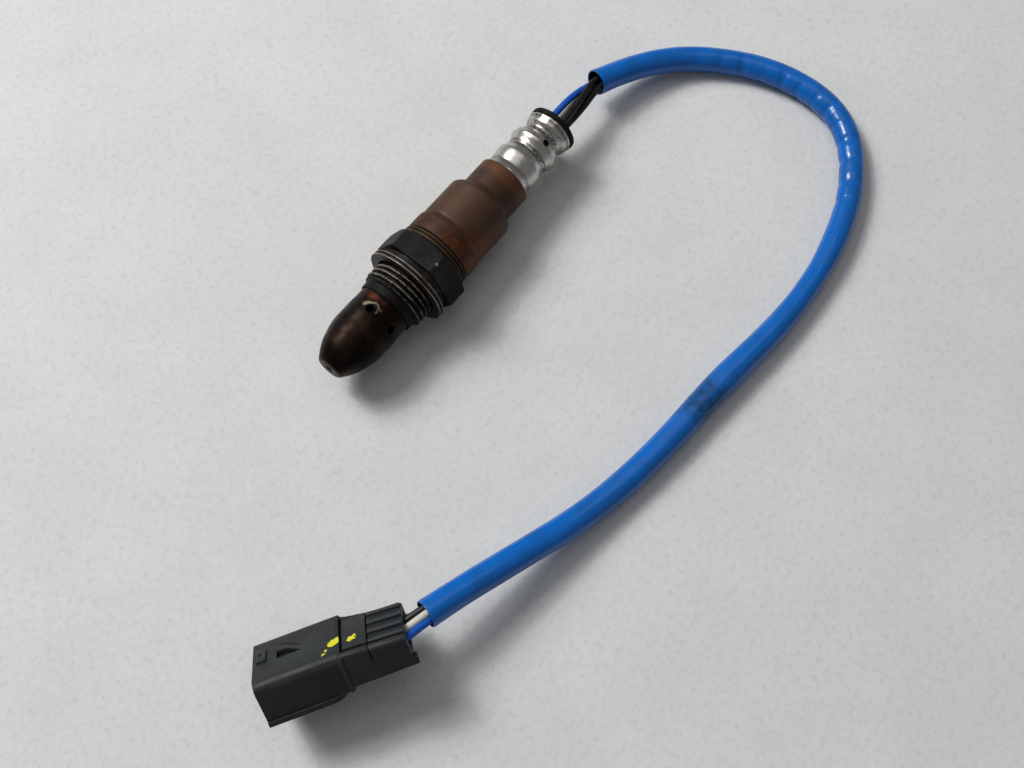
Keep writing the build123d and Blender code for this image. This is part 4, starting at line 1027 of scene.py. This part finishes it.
class SENSOR_OT_collar(bpy.types.Operator):
    """Rolled collar with two bulges, vent holes and a crimped flange, and the rubber grommet in it"""
    bl_idname = "sensor.collar"
    bl_label = "Make the collar and grommet"

    def execute(self, context):
        s = sizes(context.scene.sensor_collar)
        casing = sizes(context.scene.sensor_casing)
        f = context.scene.sensor_finishes
        outer = self.profile(s, casing.neck_radius - casing.wall)
        outer[:, 0] = casing.rear - outer[:, 0]
        inner = outer[::-1] - np.array([0.0, s.wall])

        def crimp(x, r, phi):
            near = ramp(casing.rear - x, 17.2, 19.0)
            folds = 0.05 * np.sin(17 * phi + 0.6) + wobble(phi, 41, 0.1)
            return x, r + near * np.minimum(folds, 0.1) + wobble(phi + x, 42, 0.015)

        made = settle(skin("collar", turned(np.concatenate([outer, inner]), 288, crimp)))
        ring_of_holes(made, casing.rear - VENTS_BEHIND, 7, s.vent_hole, s.vent_count, s.vent_turn)
        self.weather(settle(made, 40.0), casing.rear, math.degrees(s.vent_turn))
        dress(made, stained_stainless(f), "collar_steel", "breather_collar")
        self.grommet(s, casing.rear, f)
        return {"FINISHED"}

    @staticmethod
    def profile(s, seat):
        """Outside from (distance behind the casing's rim, radius) pairs: rings, bulges, grooves, flange."""
        profile = [
            (-2.2, seat), (0.0, seat), (0.15, s.start_radius + 0.12), (0.6, s.start_radius + 0.12),
            (0.75, s.start_radius), (2.0, s.start_radius), (2.1, s.start_radius - 0.06),
            (2.3, s.start_radius - 0.06),
        ]
        knots = [
            (5.9, s.front_bulge), (8.3, s.front_groove + 0.12), (8.6, s.front_groove - 0.05),
            (9.5, s.front_groove - 0.02), (9.8, s.front_groove + 0.14), (12.2, s.rear_bulge),
            (13.6, s.rear_bulge - 0.45), (14.8, s.rear_groove + 0.5), (15.0, s.rear_groove + 0.4),
            (15.9, s.rear_groove), (17.9, s.flange - 0.3),
        ]
        near, radius = 2.4, s.start_radius + 0.02
        for far, wide in knots:
            for t in np.linspace(0, 1, 10 if far - near > 1 else 3)[1:]:
                ease = (1 - math.cos(math.pi * t)) / 2
                profile.append((near + (far - near) * t, radius + (wide - radius) * ease))
            near, radius = far, wide
        profile += [(18.9, s.flange - 0.1), (19.15, s.flange), (19.5, s.flange), (19.68, s.flange - 0.06),
                    (19.8, s.flange - 0.22)]
        return np.array(profile)

    @staticmethod
    def weather(made, rim, vent_turn):
        """Grime in the grooves and by the first vent, painted shade along the crease lines, and more specks
        to the rear.
        """
        co, _, turn = places(made)
        back = rim - co[:, 0]
        groove = np.maximum(spot((back - 9.1, 0.9)), spot((back - 15.8, 1.3)))
        groove = np.maximum(groove, ramp(back, 19.3, 19.8))
        vent = spot((back - VENTS_BEHIND, 1.9), (turn - vent_turn, 20))
        write(made, "grime", np.clip(groove + 0.7 * vent, 0, 1))
        # Painted shade along the crease lines of the rolled profile.
        crease_shade = [spot((back - place, 0.17)) for place in (2.15, 8.45, 9.65, 14.9, 18.9)]
        write(made, "lines", np.clip(sum(crease_shade), 0, 1))
        write(made, "specks", np.clip(0.15 + 0.75 * ramp(back, 9.5, 15) + 0.8 * vent, 0, 1))

    @staticmethod
    def grommet(s, rim, f):
        """Rubber plug and its head, with four lead holes."""
        rear = rim - 19.0
        front = rim - 7.6
        core = s.front_groove - s.wall - 0.47
        waist = s.rear_groove - s.wall - 0.02
        section = soften([
            (front, 1e-4, 0),
            (front, core, 0.2),
            (front - 6.6, core, 0.2),
            (front - 6.6, waist, 0.2),
            (rear + 0.02, waist, 0),
            (rear - 0.05, s.flange - s.wall - 0.2, 0.1),
            (rear - 0.8, s.flange - s.wall - 0.2, 0.02),
            (rear - 0.84, s.head_radius, 0.3),
            (rear - 2.3, s.head_radius + 0.02, 0.5),
            (rear - 2.3, 4.6, 0.3),
            (rear - 1.9, 4.2, 0.3),
            (rear - 1.9, 1e-4, 0),
        ], 5)

        def sag(x, r, phi):
            return x, r + wobble(phi, 51, 0.1) * ramp(r, 6.5, 7.0)

        made = settle(skin("grommet", turned(section, 192, sag)))

        def bores(work):
            for y in (-LEAD_GAP, LEAD_GAP):
                for z in (-LEAD_GAP, LEAD_GAP):
                    rod(work, ((front + rear) / 2 - 1, y, z), (1, 0, 0), 0.97, 30.0, 24)

        settle(cut(made, bores), 40.0)
        dress(made, moulded_rubber(f), "grommet_rubber", "lead_grommet")


# The sleeve's route over the bench, in mm, and each lead's place in it: across, above, cavity.
ROUTE = [
    (-81.4, -0.6, -1.8), (-93.8, 2.8, -4.6), (-110.0, 14.0, -7.5), (-120.6, 35.2, -7.5),
    (-120.0, 57.2, -7.5), (-105.3, 71.2, -7.5), (-83.0, 78.9, -7.5), (-58.4, 80.7, -7.5),
    (-31.9, 77.5, -7.5), (-7.9, 76.5, -7.5), (15.0, 73.0, -7.3), (38.7, 66.0, -1.7),
    (52.1, 61.8, 1.3), (61.3, 59.4, 2.9),
]
LEADS = {
    "lead_blue": (1, 1, 1.5),
    "lead_white": (1, -1, 0.5),
    "lead_black_1": (-1, 1, -0.5),
    "lead_black_2": (-1, -1, -1.5),
}
# Each lead's place at the sleeve's two mouths, across and above the route, and its bow before them, in mm.
MOUTHS = {
    "lead_blue": ((0.9, -1.2), (1.6, 0.3), -0.5),
    "lead_white": ((-1.1, -1.2), (0.2, 1.3), 0.3),
    "lead_black_1": ((0.8, 1.1), (-1.3, 0.7), -0.5),
    "lead_black_2": ((-1.5, 0.6), (-0.6, -1.3), 0.5),
}
# The connector's own sizes, in mm: its hood from the mouth to the block behind, tops and half widths.
PLUG_LENGTH = 35.2
HOOD_LENGTH = 20.4
HOOD_TOP = 10.9
BLOCK_TOP = 10.5
BLOCK_SIDE = 9.2
PAD_TOP = 10.7
PAD_SIDE = 6.7
CAVITY_PITCH = 3.6
CAVITY_HEIGHT = 5.4
# Stations from the rear face where the leads part towards their cavities and where they end.
FAN_STATION = 3.6
LEAD_END = 15.1
RIB_STATION = 26.95
RIB_PITCH = 4.03
LEAD_GAP = 1.7


def connector_pose():
    """Rotation and place, in mm, of the connector's own frame: rear face at 0, mouth at its length."""
    turn = Matrix.Rotation(math.radians(-31.4), 3, "Z")
    dip = Matrix.Rotation(math.radians(5.6), 3, "Y")
    roll = Matrix.Rotation(math.radians(47.2), 3, "X")
    pose = turn @ dip @ roll
    return pose, Vector((94.1, 38.3, -11.0)) - pose @ Vector((PLUG_LENGTH, -9.95, 0.0))


def lead_points(name):
    """Control points of one lead, in mm, from its crimp to its terminal, twisting in the sleeve."""
    side, up, cavity = LEADS[name]
    near_sensor, near_plug, bow = MOUTHS[name]
    y, z = -side * LEAD_GAP, up * LEAD_GAP
    points = [Vector((-43.8, y, z)), Vector((-62.5, y, z)), Vector((-72.0, y * 0.8 + bow, z * 0.8))]
    route = [Vector(p) for p in ROUTE]
    level = [Vector(((b - a).x, (b - a).y, 0)).normalized() for a, b in zip(route, route[1:])]
    for i, here in enumerate(route):
        run_in, run_out = level[max(i - 1, 0)], level[min(i, len(level) - 1)]
        middle = (run_in + run_out).normalized()
        share = i / (len(route) - 1)
        across = ((1 - share) * near_sensor[0] + share * near_plug[0]) / middle.dot(run_in)
        above = (1 - share) * near_sensor[1] + share * near_plug[1]
        points.append(here + Vector((-middle.y * across, middle.x * across, above)))
    pose, origin = connector_pose()
    for station in (FAN_STATION, LEAD_END):
        points.append(pose @ Vector((station, cavity * CAVITY_PITCH, CAVITY_HEIGHT)) + origin)
    return points


def spline_object(name, points, radius=0.0):
    """NURBS curve through control points in mm."""
    curve = bpy.data.curves.new(name, "CURVE")
    curve.dimensions = "3D"
    curve.resolution_u = 16
    curve.bevel_depth = mm(radius)
    curve.bevel_resolution = 6
    curve.use_fill_caps = radius > 0
    spline = curve.splines.new("NURBS")
    spline.points.add(len(points) - 1)
    for point, place in zip(spline.points, points):
        point.co = (*(Vector(place) * METRE), 1.0)
    spline.order_u = 3
    spline.use_endpoint_u = True
    return fresh(name, curve)


def spline_places(points):
    """Points, in mm, read from the unbevelled NURBS curve."""
    made = spline_object("route", points)
    bpy.context.view_layer.update()
    mesh = bpy.data.meshes.new_from_object(made.evaluated_get(bpy.context.evaluated_depsgraph_get()))
    co = np.array([v.co for v in mesh.vertices]) / METRE
    curve = made.data
    bpy.data.objects.remove(made)
    bpy.data.curves.remove(curve)
    bpy.data.meshes.remove(mesh)
    return co


class SENSOR_OT_leads(bpy.types.Operator):
    """Four insulated leads from the grommet to the connector"""
    bl_idname = "sensor.leads"
    bl_label = "Make the leads"

    def execute(self, context):
        s = sizes(context.scene.sensor_cords)
        f = context.scene.sensor_finishes
        skins = {
            "lead_blue": ("blue_lead", lead_skin("blue_silicone", f.blue_lead, linear("#063d88"))),
            "lead_white": ("white_lead", lead_skin("white_silicone", f.white_lead, linear("#93897a"))),
            "lead_black_1": ("black_lead", lead_skin("black_silicone", f.black_lead, linear("#181818"))),
        }
        skins["lead_black_2"] = skins["lead_black_1"]
        for name, (side, up, _) in LEADS.items():
            made = spline_object(name.replace("lead", "wire"), lead_points(name), s.lead_radius)
            slot, material = skins[name]
            dress(made, material, slot, name)
            far_pieces(name)
        return {"FINISHED"}


def far_pieces(name):
    """What hangs on a lead's far end: its terminal and seal, and on the first lead the connector too."""
    number = list(LEADS).index(name) + 1
    pieces = [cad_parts[f"terminal_{number}"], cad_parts[f"wire_seal_{number}"]]
    if number == 1:
        pieces.append(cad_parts["terminal_retainer"])
        moulded = ("housing", "rear_cap", "hood_lip", "hood_boss", "cap_ribs")
        pieces += [bpy.data.objects[part] for part in moulded]
    return pieces


class SENSOR_OT_sleeve(bpy.types.Operator):
    """Soft blue sleeve over the leads, with folds on its inner bend and a smear of dirt"""
    bl_idname = "sensor.sleeve"
    bl_label = "Make the sleeve"

    def execute(self, context):
        s = sizes(context.scene.sensor_cords)
        along, path = self.centre_line(step=0.5)
        phi = angles(44)[None, :]
        radius = self.radii(along[:, None], phi, s.sleeve_radius)
        outer, inner, lip = [self.tube(path, phi, radius - less) for less in (0.0, s.sleeve_wall, 0.1)]
        rings = np.concatenate([lip[:1], outer[1:-1], lip[-1:], inner[::-1]])
        made = settle(skin("sleeve", rings), 45.0)
        self.weather(made, along, path)
        dress(made, soft_sleeve(context.scene.sensor_finishes), "sleeve_vinyl", "cable_sleeve")
        return {"FINISHED"}

    @staticmethod
    def centre_line(step):
        """Run and smoothed places of points a step apart on the sleeve's route, in mm."""
        line = spline_places(ROUTE)
        run = np.concatenate([[0], np.cumsum(np.linalg.norm(np.diff(line, axis=0), axis=1))])
        along = np.arange(0, run[-1], step)
        along[-1] = run[-1]
        path = np.stack([np.interp(along, run, line[:, i]) for i in range(3)], axis=1)
        for _ in range(6):
            path[1:-1] = (path[:-2] + 2 * path[1:-1] + path[2:]) / 4
        return along, path

    @staticmethod
    def radii(at, phi, radius):
        """Outside by the run and angle: narrow past the bend, wide at the dirt, folded inside the bend."""
        widest = 3.78
        width = np.interp(at, [0, 6, 60, 118, 128, 139, 150, 168, 180, 230, 258, at[-1, 0]],
                          [1.03, 0.99, 1.0, 0.96, 0.88, 0.88, 0.96, 1.07, 1.03, 1.0, 1.0, 1.03])
        inner_bend = ramp(at, 26, 44) * (1 - ramp(at, 100, 116))
        facing = np.clip(0.3 + 0.7 * np.cos(phi - 0.6), 0, 1)
        folds = np.sin(at / 0.98 + 1.3 * np.sin(at / 11)) + 0.5 * np.sin(at / 2.3 + phi)
        radius = radius * width - 0.24 * inner_bend * facing * np.clip(folds, 0, 2)
        return np.minimum(radius + wobble(at / 26 + phi, 61, 0.05), widest)

    @staticmethod
    def tube(path, phi, radius):
        """Rings of points round a path, square to it, in mm."""
        forward = np.gradient(path, axis=0)
        forward /= np.linalg.norm(forward, axis=1)[:, None]
        side = np.cross(forward, (0, 0, 1))
        side /= np.linalg.norm(side, axis=1)[:, None]
        up = np.cross(side, forward)
        across = side[:, None, :] * np.cos(phi)[:, :, None] + up[:, None, :] * np.sin(phi)[:, :, None]
        return path[:, None, :] + across * radius[:, :, None]

    @staticmethod
    def weather(made, along, path):
        """Painted shade on the inner wall near the mouths, and one smear of dirt on the sleeve's top."""
        dirt_at = 178
        co, _, _ = places(made)
        nearest = np.array([along[int(np.argmin(((path - p) ** 2).sum(axis=1)))] for p in co])
        clear = np.sqrt([((path - p) ** 2).sum(axis=1).min() for p in co])
        near_mouth = np.minimum(nearest, along[-1] - nearest) < 12
        # Painted shade: the inner wall darkens within 12 mm of either mouth.
        write(made, "inside", ramp(-clear, -3.35, -3.2) * near_mouth)
        smudge = spot((nearest - dirt_at, 9.5)) * ramp(co[:, 2], -9.5, -6.0)
        write(made, "smudge", np.clip(smudge * 1.2, 0, 1))


def plug_frame(co):
    """Points in the connector's own frame, in mm: from the mouth, across (near side positive) and up."""
    pose, origin = connector_pose()
    local = (co - np.array(origin)) @ np.array(pose)
    local[:, 0] = PLUG_LENGTH - local[:, 0]
    return local


def bench_frame(local):
    """Points in mm from the connector's own frame back to the shared one."""
    pose, origin = connector_pose()
    from_rear = np.array(local, dtype=float)
    from_rear[:, 0] = PLUG_LENGTH - from_rear[:, 0]
    return from_rear @ np.array(pose).T + np.array(origin)


def lean(local):
    """Lets the top of the rear block fall towards the leads and towards its far side."""
    x, y, z = local.T
    along = np.clip((x - HOOD_LENGTH) / (PLUG_LENGTH - HOOD_LENGTH), 0, 1.05)
    near = np.clip((y + BLOCK_SIDE) / (2 * BLOCK_SIDE), 0, 1)
    # How far the outer walls and the pad between them fall: the far side's part first.
    wall = (1 - near) * (1.1 + 1.8 * along) + near * 0.9 * along
    near = np.clip((y + PAD_SIDE) / (2 * PAD_SIDE), 0, 1)
    pad = (1 - near) * (0.8 - 0.4 * along) + near * (0.2 - 0.7 * along)
    drop = np.where(np.abs(y) > 7.4, wall, pad) * np.clip((z - 7.2) / 3.3, 0, 1.1)
    joint = np.zeros(len(x), bool)
    for top, side in ((BLOCK_TOP, BLOCK_SIDE), (PAD_TOP, PAD_SIDE)):
        joint |= (np.abs(x - HOOD_LENGTH) < 0.03) & (np.abs(z - top) < 0.02) & (np.abs(y) < side + 0.05)
    return np.stack([x, y, z - drop * ((x > HOOD_LENGTH + 0.03) | joint)], axis=1)


def prism(work, outline, low, high):
    """Adds a block over a flat outline in the connector's own frame, between two heights in mm."""
    count = len(outline)
    corners = [(x, y, z) for z in (low, high) for x, y in outline]
    ring = [work.verts.new(p * METRE) for p in bench_frame(corners)]
    work.faces.new(ring[:count])
    work.faces.new(ring[count:][::-1])
    for i in range(count):
        j = (i + 1) % count
        work.faces.new([ring[j], ring[i], ring[count + i], ring[count + j]])


class SENSOR_OT_connector(bpy.types.Operator):
    """Moulded connector: rounded housing with lips and recesses, ribbed rear cap and paint dabs"""
    bl_idname = "sensor.connector"
    bl_label = "Make the connector"

    def execute(self, context):
        s = sizes(context.scene.sensor_connector)
        material = moulded_plastic(context.scene.sensor_finishes)
        for name, node in (("housing", "connector_housing"), ("rear_cap", "connector_rear_cap")):
            made = self.copied(name, node)
            if name == "housing":
                cut(made, self.recesses)
            modifier = made.modifiers.new("edges", "BEVEL")
            modifier.limit_method = "ANGLE"
            modifier.angle_limit = math.radians(34)
            modifier.width = mm(s.edge)
            modifier.segments = 3
            modifier.use_clamp_overlap = True
            evaluated(made)
            self.mark(settle(made, 40.0))
            dress(made, material, "connector_plastic", node)
        lip = settle(skin("hood_lip", self.lip(station=20.05, half=0.5, height=0.34)), 50.0)
        self.mark(lip)
        for made in (lip, self.boss(), self.ribs(s, material)):
            dress(made, material, "connector_plastic")
        return {"FINISHED"}

    @staticmethod
    def copied(name, node):
        """A merged copy of a CAD node, with its flat faces joined and its rear top leaning."""
        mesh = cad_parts[node].data.copy()
        mesh.name = name
        work = bmesh.new()
        work.from_mesh(mesh)
        bmesh.ops.remove_doubles(work, verts=work.verts, dist=2e-6)
        bmesh.ops.dissolve_limit(work, angle_limit=math.radians(0.6), verts=work.verts, edges=work.edges)
        local = plug_frame(np.array([v.co for v in work.verts]) / METRE)
        ridges = []
        for edge in work.edges:
            ends = local[[v.index for v in edge.verts]]
            aside = np.abs(np.abs(ends[:, 1]) - BLOCK_SIDE)
            if (np.maximum(aside, np.abs(ends[:, 2] - BLOCK_TOP)) < 0.05).all():
                ridges.append(edge)
        if name == "rear_cap":
            local[:, 0] += 0.25 * (np.abs(local[:, 0] - 26.65) < 0.1)
        for vertex, place in zip(work.verts, bench_frame(lean(local))):
            vertex.co = place * METRE
        if ridges:
            bmesh.ops.bevel(work, geom=ridges, offset=mm(1.5), segments=6, profile=0.5, affect="EDGES")
        work.to_mesh(mesh)
        work.free()
        return fresh(name, mesh)

    @staticmethod
    def recesses(work):
        """Gap behind the hood, wedge pocket and the fine groove beside it."""
        clear = HOOD_TOP + 1.1
        prism(work, [(20.42, -7.0), (21.05, -7.0), (21.05, 7.0), (20.42, 7.0)], 8.9, clear)
        prism(work, [(5.6, -1.9), (6.2, 0.6), (11.6, 0.95), (8.1, -1.7)], 9.75, clear)
        groove = [(6.6, -4.05), (7.8, -4.05), (11.7, -1.1), (11.5, -0.8), (7.7, -3.7), (6.6, -3.7)]
        prism(work, groove, HOOD_TOP - 0.5, clear)

    @staticmethod
    def lip(station, half, height):
        """Rounded ridge round the hood's outside, standing proud on its near side."""
        outline, normals = [], []
        # Each corner's centre across and up, its radius and its first angle in degrees.
        corners = ((6.9, 8.3, 2.6, 0), (-6.9, 8.3, 2.6, 90), (-8.6, 1.5, 0.9, 180), (8.6, 1.5, 0.9, 270))
        for y, z, radius, first in corners:
            for degrees in np.linspace(first, first + 90, 9):
                out = np.array([math.cos(math.radians(degrees)), math.sin(math.radians(degrees))])
                outline.append(np.array([y, z]) + radius * out)
                normals.append(out)
        outline, normals = np.array(outline), np.array(normals)
        rings = []
        for t in np.linspace(0, math.pi, 7):
            proud = height * (0.1 + 0.9 * ramp(normals[:, :1], 0.3, 0.8))
            shape = outline + normals * (proud * math.sin(t) - 0.03)
            x = np.full(len(outline), station - half * math.cos(t))
            rings.append(bench_frame(np.column_stack([x, shape])))
        deep = outline - normals * 0.3
        rings.append(bench_frame(np.column_stack([np.full(len(outline), station), deep])))
        return np.array(rings)

    def boss(self):
        """Small raised square by the mouth, with a dimple."""
        mesh = bpy.data.meshes.new("hood_boss")
        work = bmesh.new()
        prism(work, [(0.9, -4.1), (3.3, -4.1), (3.3, 0.7), (0.9, 0.7)], HOOD_TOP - 0.2, HOOD_TOP + 0.5)
        work.to_mesh(mesh)
        work.free()
        made = fresh("hood_boss", mesh)
        centre = bench_frame([(1.9, -1.8, HOOD_TOP + 0.5)])[0]
        axis = tuple(connector_pose()[0] @ Vector((0, 0, 1)))
        settle(cut(made, lambda hole: rod(hole, centre, axis, 0.4, 0.5, 16)), 30.0)
        modifier = made.modifiers.new("edges", "BEVEL")
        modifier.width = mm(0.12)
        modifier.segments = 2
        self.mark(settle(evaluated(made), 40.0))
        return made

    def ribs(self, s, material):
        """Rounded grip ribs over the rear cap, one bar copied along a line by Geometry Nodes."""
        def build(add, given):
            row = add("row", given["Count"], add("vector", 0.0, given["Pitch"]))
            half = add("times", given["Width"], 0.5)
            spine = add("line", add("vector", given["Length"]))
            bar = add("bar", spine, add("ring", 16, half))
            squash = add("vector", 1.0, 1.0, add("over", given["Height"], half))
            return add("copies", row, add("scaled", bar, squash))

        inputs = {
            "Count": 4, "Pitch": mm(RIB_PITCH), "Length": mm(8.1), "Width": mm(s.rib_width),
            "Height": mm(0.5), "Material": material}
        made = grown(fresh("cap_ribs", bpy.data.meshes.new("cap_ribs")), inputs, build)
        co, _, _ = places(made)
        x = RIB_STATION + co[:, 0]
        fall = PAD_TOP - 0.1216 * (x - HOOD_LENGTH)
        z = fall + co[:, 2] - 0.3 + 0.04 * co[:, 0]
        local = lean(np.stack([x, co[:, 1] - 1.5 * RIB_PITCH, z], axis=1))
        made.data.vertices.foreach_set("co", (bench_frame(local) * METRE).astype(np.float32).ravel())
        self.mark(settle(made, 45.0))
        return made

    @staticmethod
    def mark(made):
        """Wear on the edges, and places in the connector's own frame for the paint."""
        co, _, _ = places(made)
        local = plug_frame(co)
        rail = 0.7 * (local[:, 2] < 1.3) * (np.abs(local[:, 1]) > 9.3) * (local[:, 0] < 19)
        write(made, "wear", np.maximum(edge_wear(made), rail))
        layer = made.data.attributes.new("local", "FLOAT_VECTOR", "POINT")
        layer.data.foreach_set("vector", local.astype(np.float32).ravel())


class SENSOR_OT_inside(bpy.types.Operator):
    """Finishes for the parts inside: element, insulators, packing, contacts, seals and terminals"""
    bl_idname = "sensor.inside"
    bl_label = "Finish the inner parts"

    def execute(self, context):
        f = context.scene.sensor_finishes

        def four(name):
            return [f"{name}_{i}" for i in range(1, 5)]

        finishes = {
            sooted_steel(f): ["inner_cover"],
            fired_ceramic(f): [
                "sensing_element", "front_insulator", "talc_packing", "rear_insulator", "contact_block"],
            bright_spring(f): ["packing_ring", "block_clip", *four("contact_spring")],
            tin_plate(f): four("lead_crimp") + four("terminal"),
            seal_rubber(f): four("wire_seal"),
            membrane_felt(f): ["breather_membrane"],
            moulded_plastic(f): ["terminal_retainer"],
        }
        for material, nodes in finishes.items():
            for node in nodes:
                paint_node(node, material)
        return {"FINISHED"}


BENCH_HEIGHT = mm(-11)
LENS_PIXELS = 1250
PICTURE_WIDTH = 1024
# The camera's right and up directions, and its place in metres.
CAMERA_RIGHT = Vector((-0.6293, 0.7772, 0.0))
CAMERA_UP = Vector((-0.7231, -0.5855, 0.3665))
CAMERA_PLACE = Vector((0.09235, 0.11017, 0.290))
LAMP_AIM = Vector((0, 0.03, 0))
ROOM_LIGHT = 0.24
# Each lamp's place and disk size in metres, and its power in watts; the small one draws the fine glints.
LAMPS = (
    ("key", (0.07, -1.05, 1.2), 0.85, 20.5),
    ("glint", (0.07, -1.04, 1.19), 0.2, 4.5),
    ("fill", (-0.3, -0.1, 1.3), 1.0, 1.5),
)


class SENSOR_OT_stage(bpy.types.Operator):
    """Pale bench, soft light from one side and the camera"""
    bl_idname = "sensor.stage"
    bl_label = "Set the stage"

    def execute(self, context):
        scene = context.scene
        mesh = bpy.data.meshes.new("bench")
        corners = [(x, y, BENCH_HEIGHT) for x, y in ((-3, -3), (3, -3), (3, 3), (-3, 3))]
        mesh.from_pydata(corners, [], [(0, 1, 2, 3)])
        mesh.materials.append(bench_top(scene.sensor_finishes))
        fresh("bench", mesh)

        camera = bpy.data.cameras.new("camera")
        camera.sensor_width = 36.0
        camera.lens = LENS_PIXELS * camera.sensor_width / PICTURE_WIDTH
        camera.clip_start = 0.01
        back = CAMERA_RIGHT.cross(CAMERA_UP)
        view = Matrix((CAMERA_RIGHT, CAMERA_UP, back)).transposed().to_4x4()
        view.translation = CAMERA_PLACE
        holder = fresh("camera", camera)
        holder.matrix_world = view
        scene.camera = holder

        for name, place, size, power in LAMPS:
            lamp = bpy.data.lights.new(name, "AREA")
            lamp.shape = "DISK"
            lamp.size = size
            lamp.energy = power
            stand = fresh(name, lamp)
            stand.location = place
            aim = LAMP_AIM - Vector(place)
            stand.rotation_euler = aim.to_track_quat("-Z", "Y").to_euler()
        world = bpy.data.worlds.new("room")
        world.use_nodes = True
        feed(world.node_tree.nodes["Background"], {"Color": "#e2e3e4", "Strength": ROOM_LIGHT})
        scene.world = world
        scene.view_settings.view_transform = "Standard"
        return {"FINISHED"}


class SENSOR_PT_panel(bpy.types.Panel):
    """Buttons for every piece, with its sizes and finishes"""
    bl_idname = "SENSOR_PT_panel"
    bl_label = "Oxygen sensor"
    bl_space_type = "VIEW_3D"
    bl_region_type = "UI"
    bl_category = "Sensor"

    def draw(self, context):
        for maker in MAKERS:
            self.layout.operator(maker.bl_idname)
        for group in GROUPS:
            box = self.layout.box()
            values = getattr(context.scene, group)
            for name in values.__annotations__:
                box.prop(values, name)


MAKERS = (
    SENSOR_OT_stage, SENSOR_OT_shell, SENSOR_OT_gasket, SENSOR_OT_cover, SENSOR_OT_casing,
    SENSOR_OT_collar, SENSOR_OT_connector, SENSOR_OT_leads, SENSOR_OT_sleeve, SENSOR_OT_inside,
)


def register():
    """Registers every class and gives each scene its groups of sizes and finishes."""
    for kind in (*GROUPS.values(), *MAKERS, SENSOR_PT_panel):
        bpy.utils.register_class(kind)
    for name, kind in GROUPS.items():
        setattr(bpy.types.Scene, name, bpy.props.PointerProperty(type=kind))


def unregister():
    """Takes back what register adds."""
    for name in GROUPS:
        delattr(bpy.types.Scene, name)
    for kind in reversed((*GROUPS.values(), *MAKERS, SENSOR_PT_panel)):
        bpy.utils.unregister_class(kind)


def main():
    """Makes every piece and the stage."""
    register()
    for maker in MAKERS:
        group, name = maker.bl_idname.split(".")
        getattr(getattr(bpy.ops, group), name)()


if __name__ == "__main__":
    main()
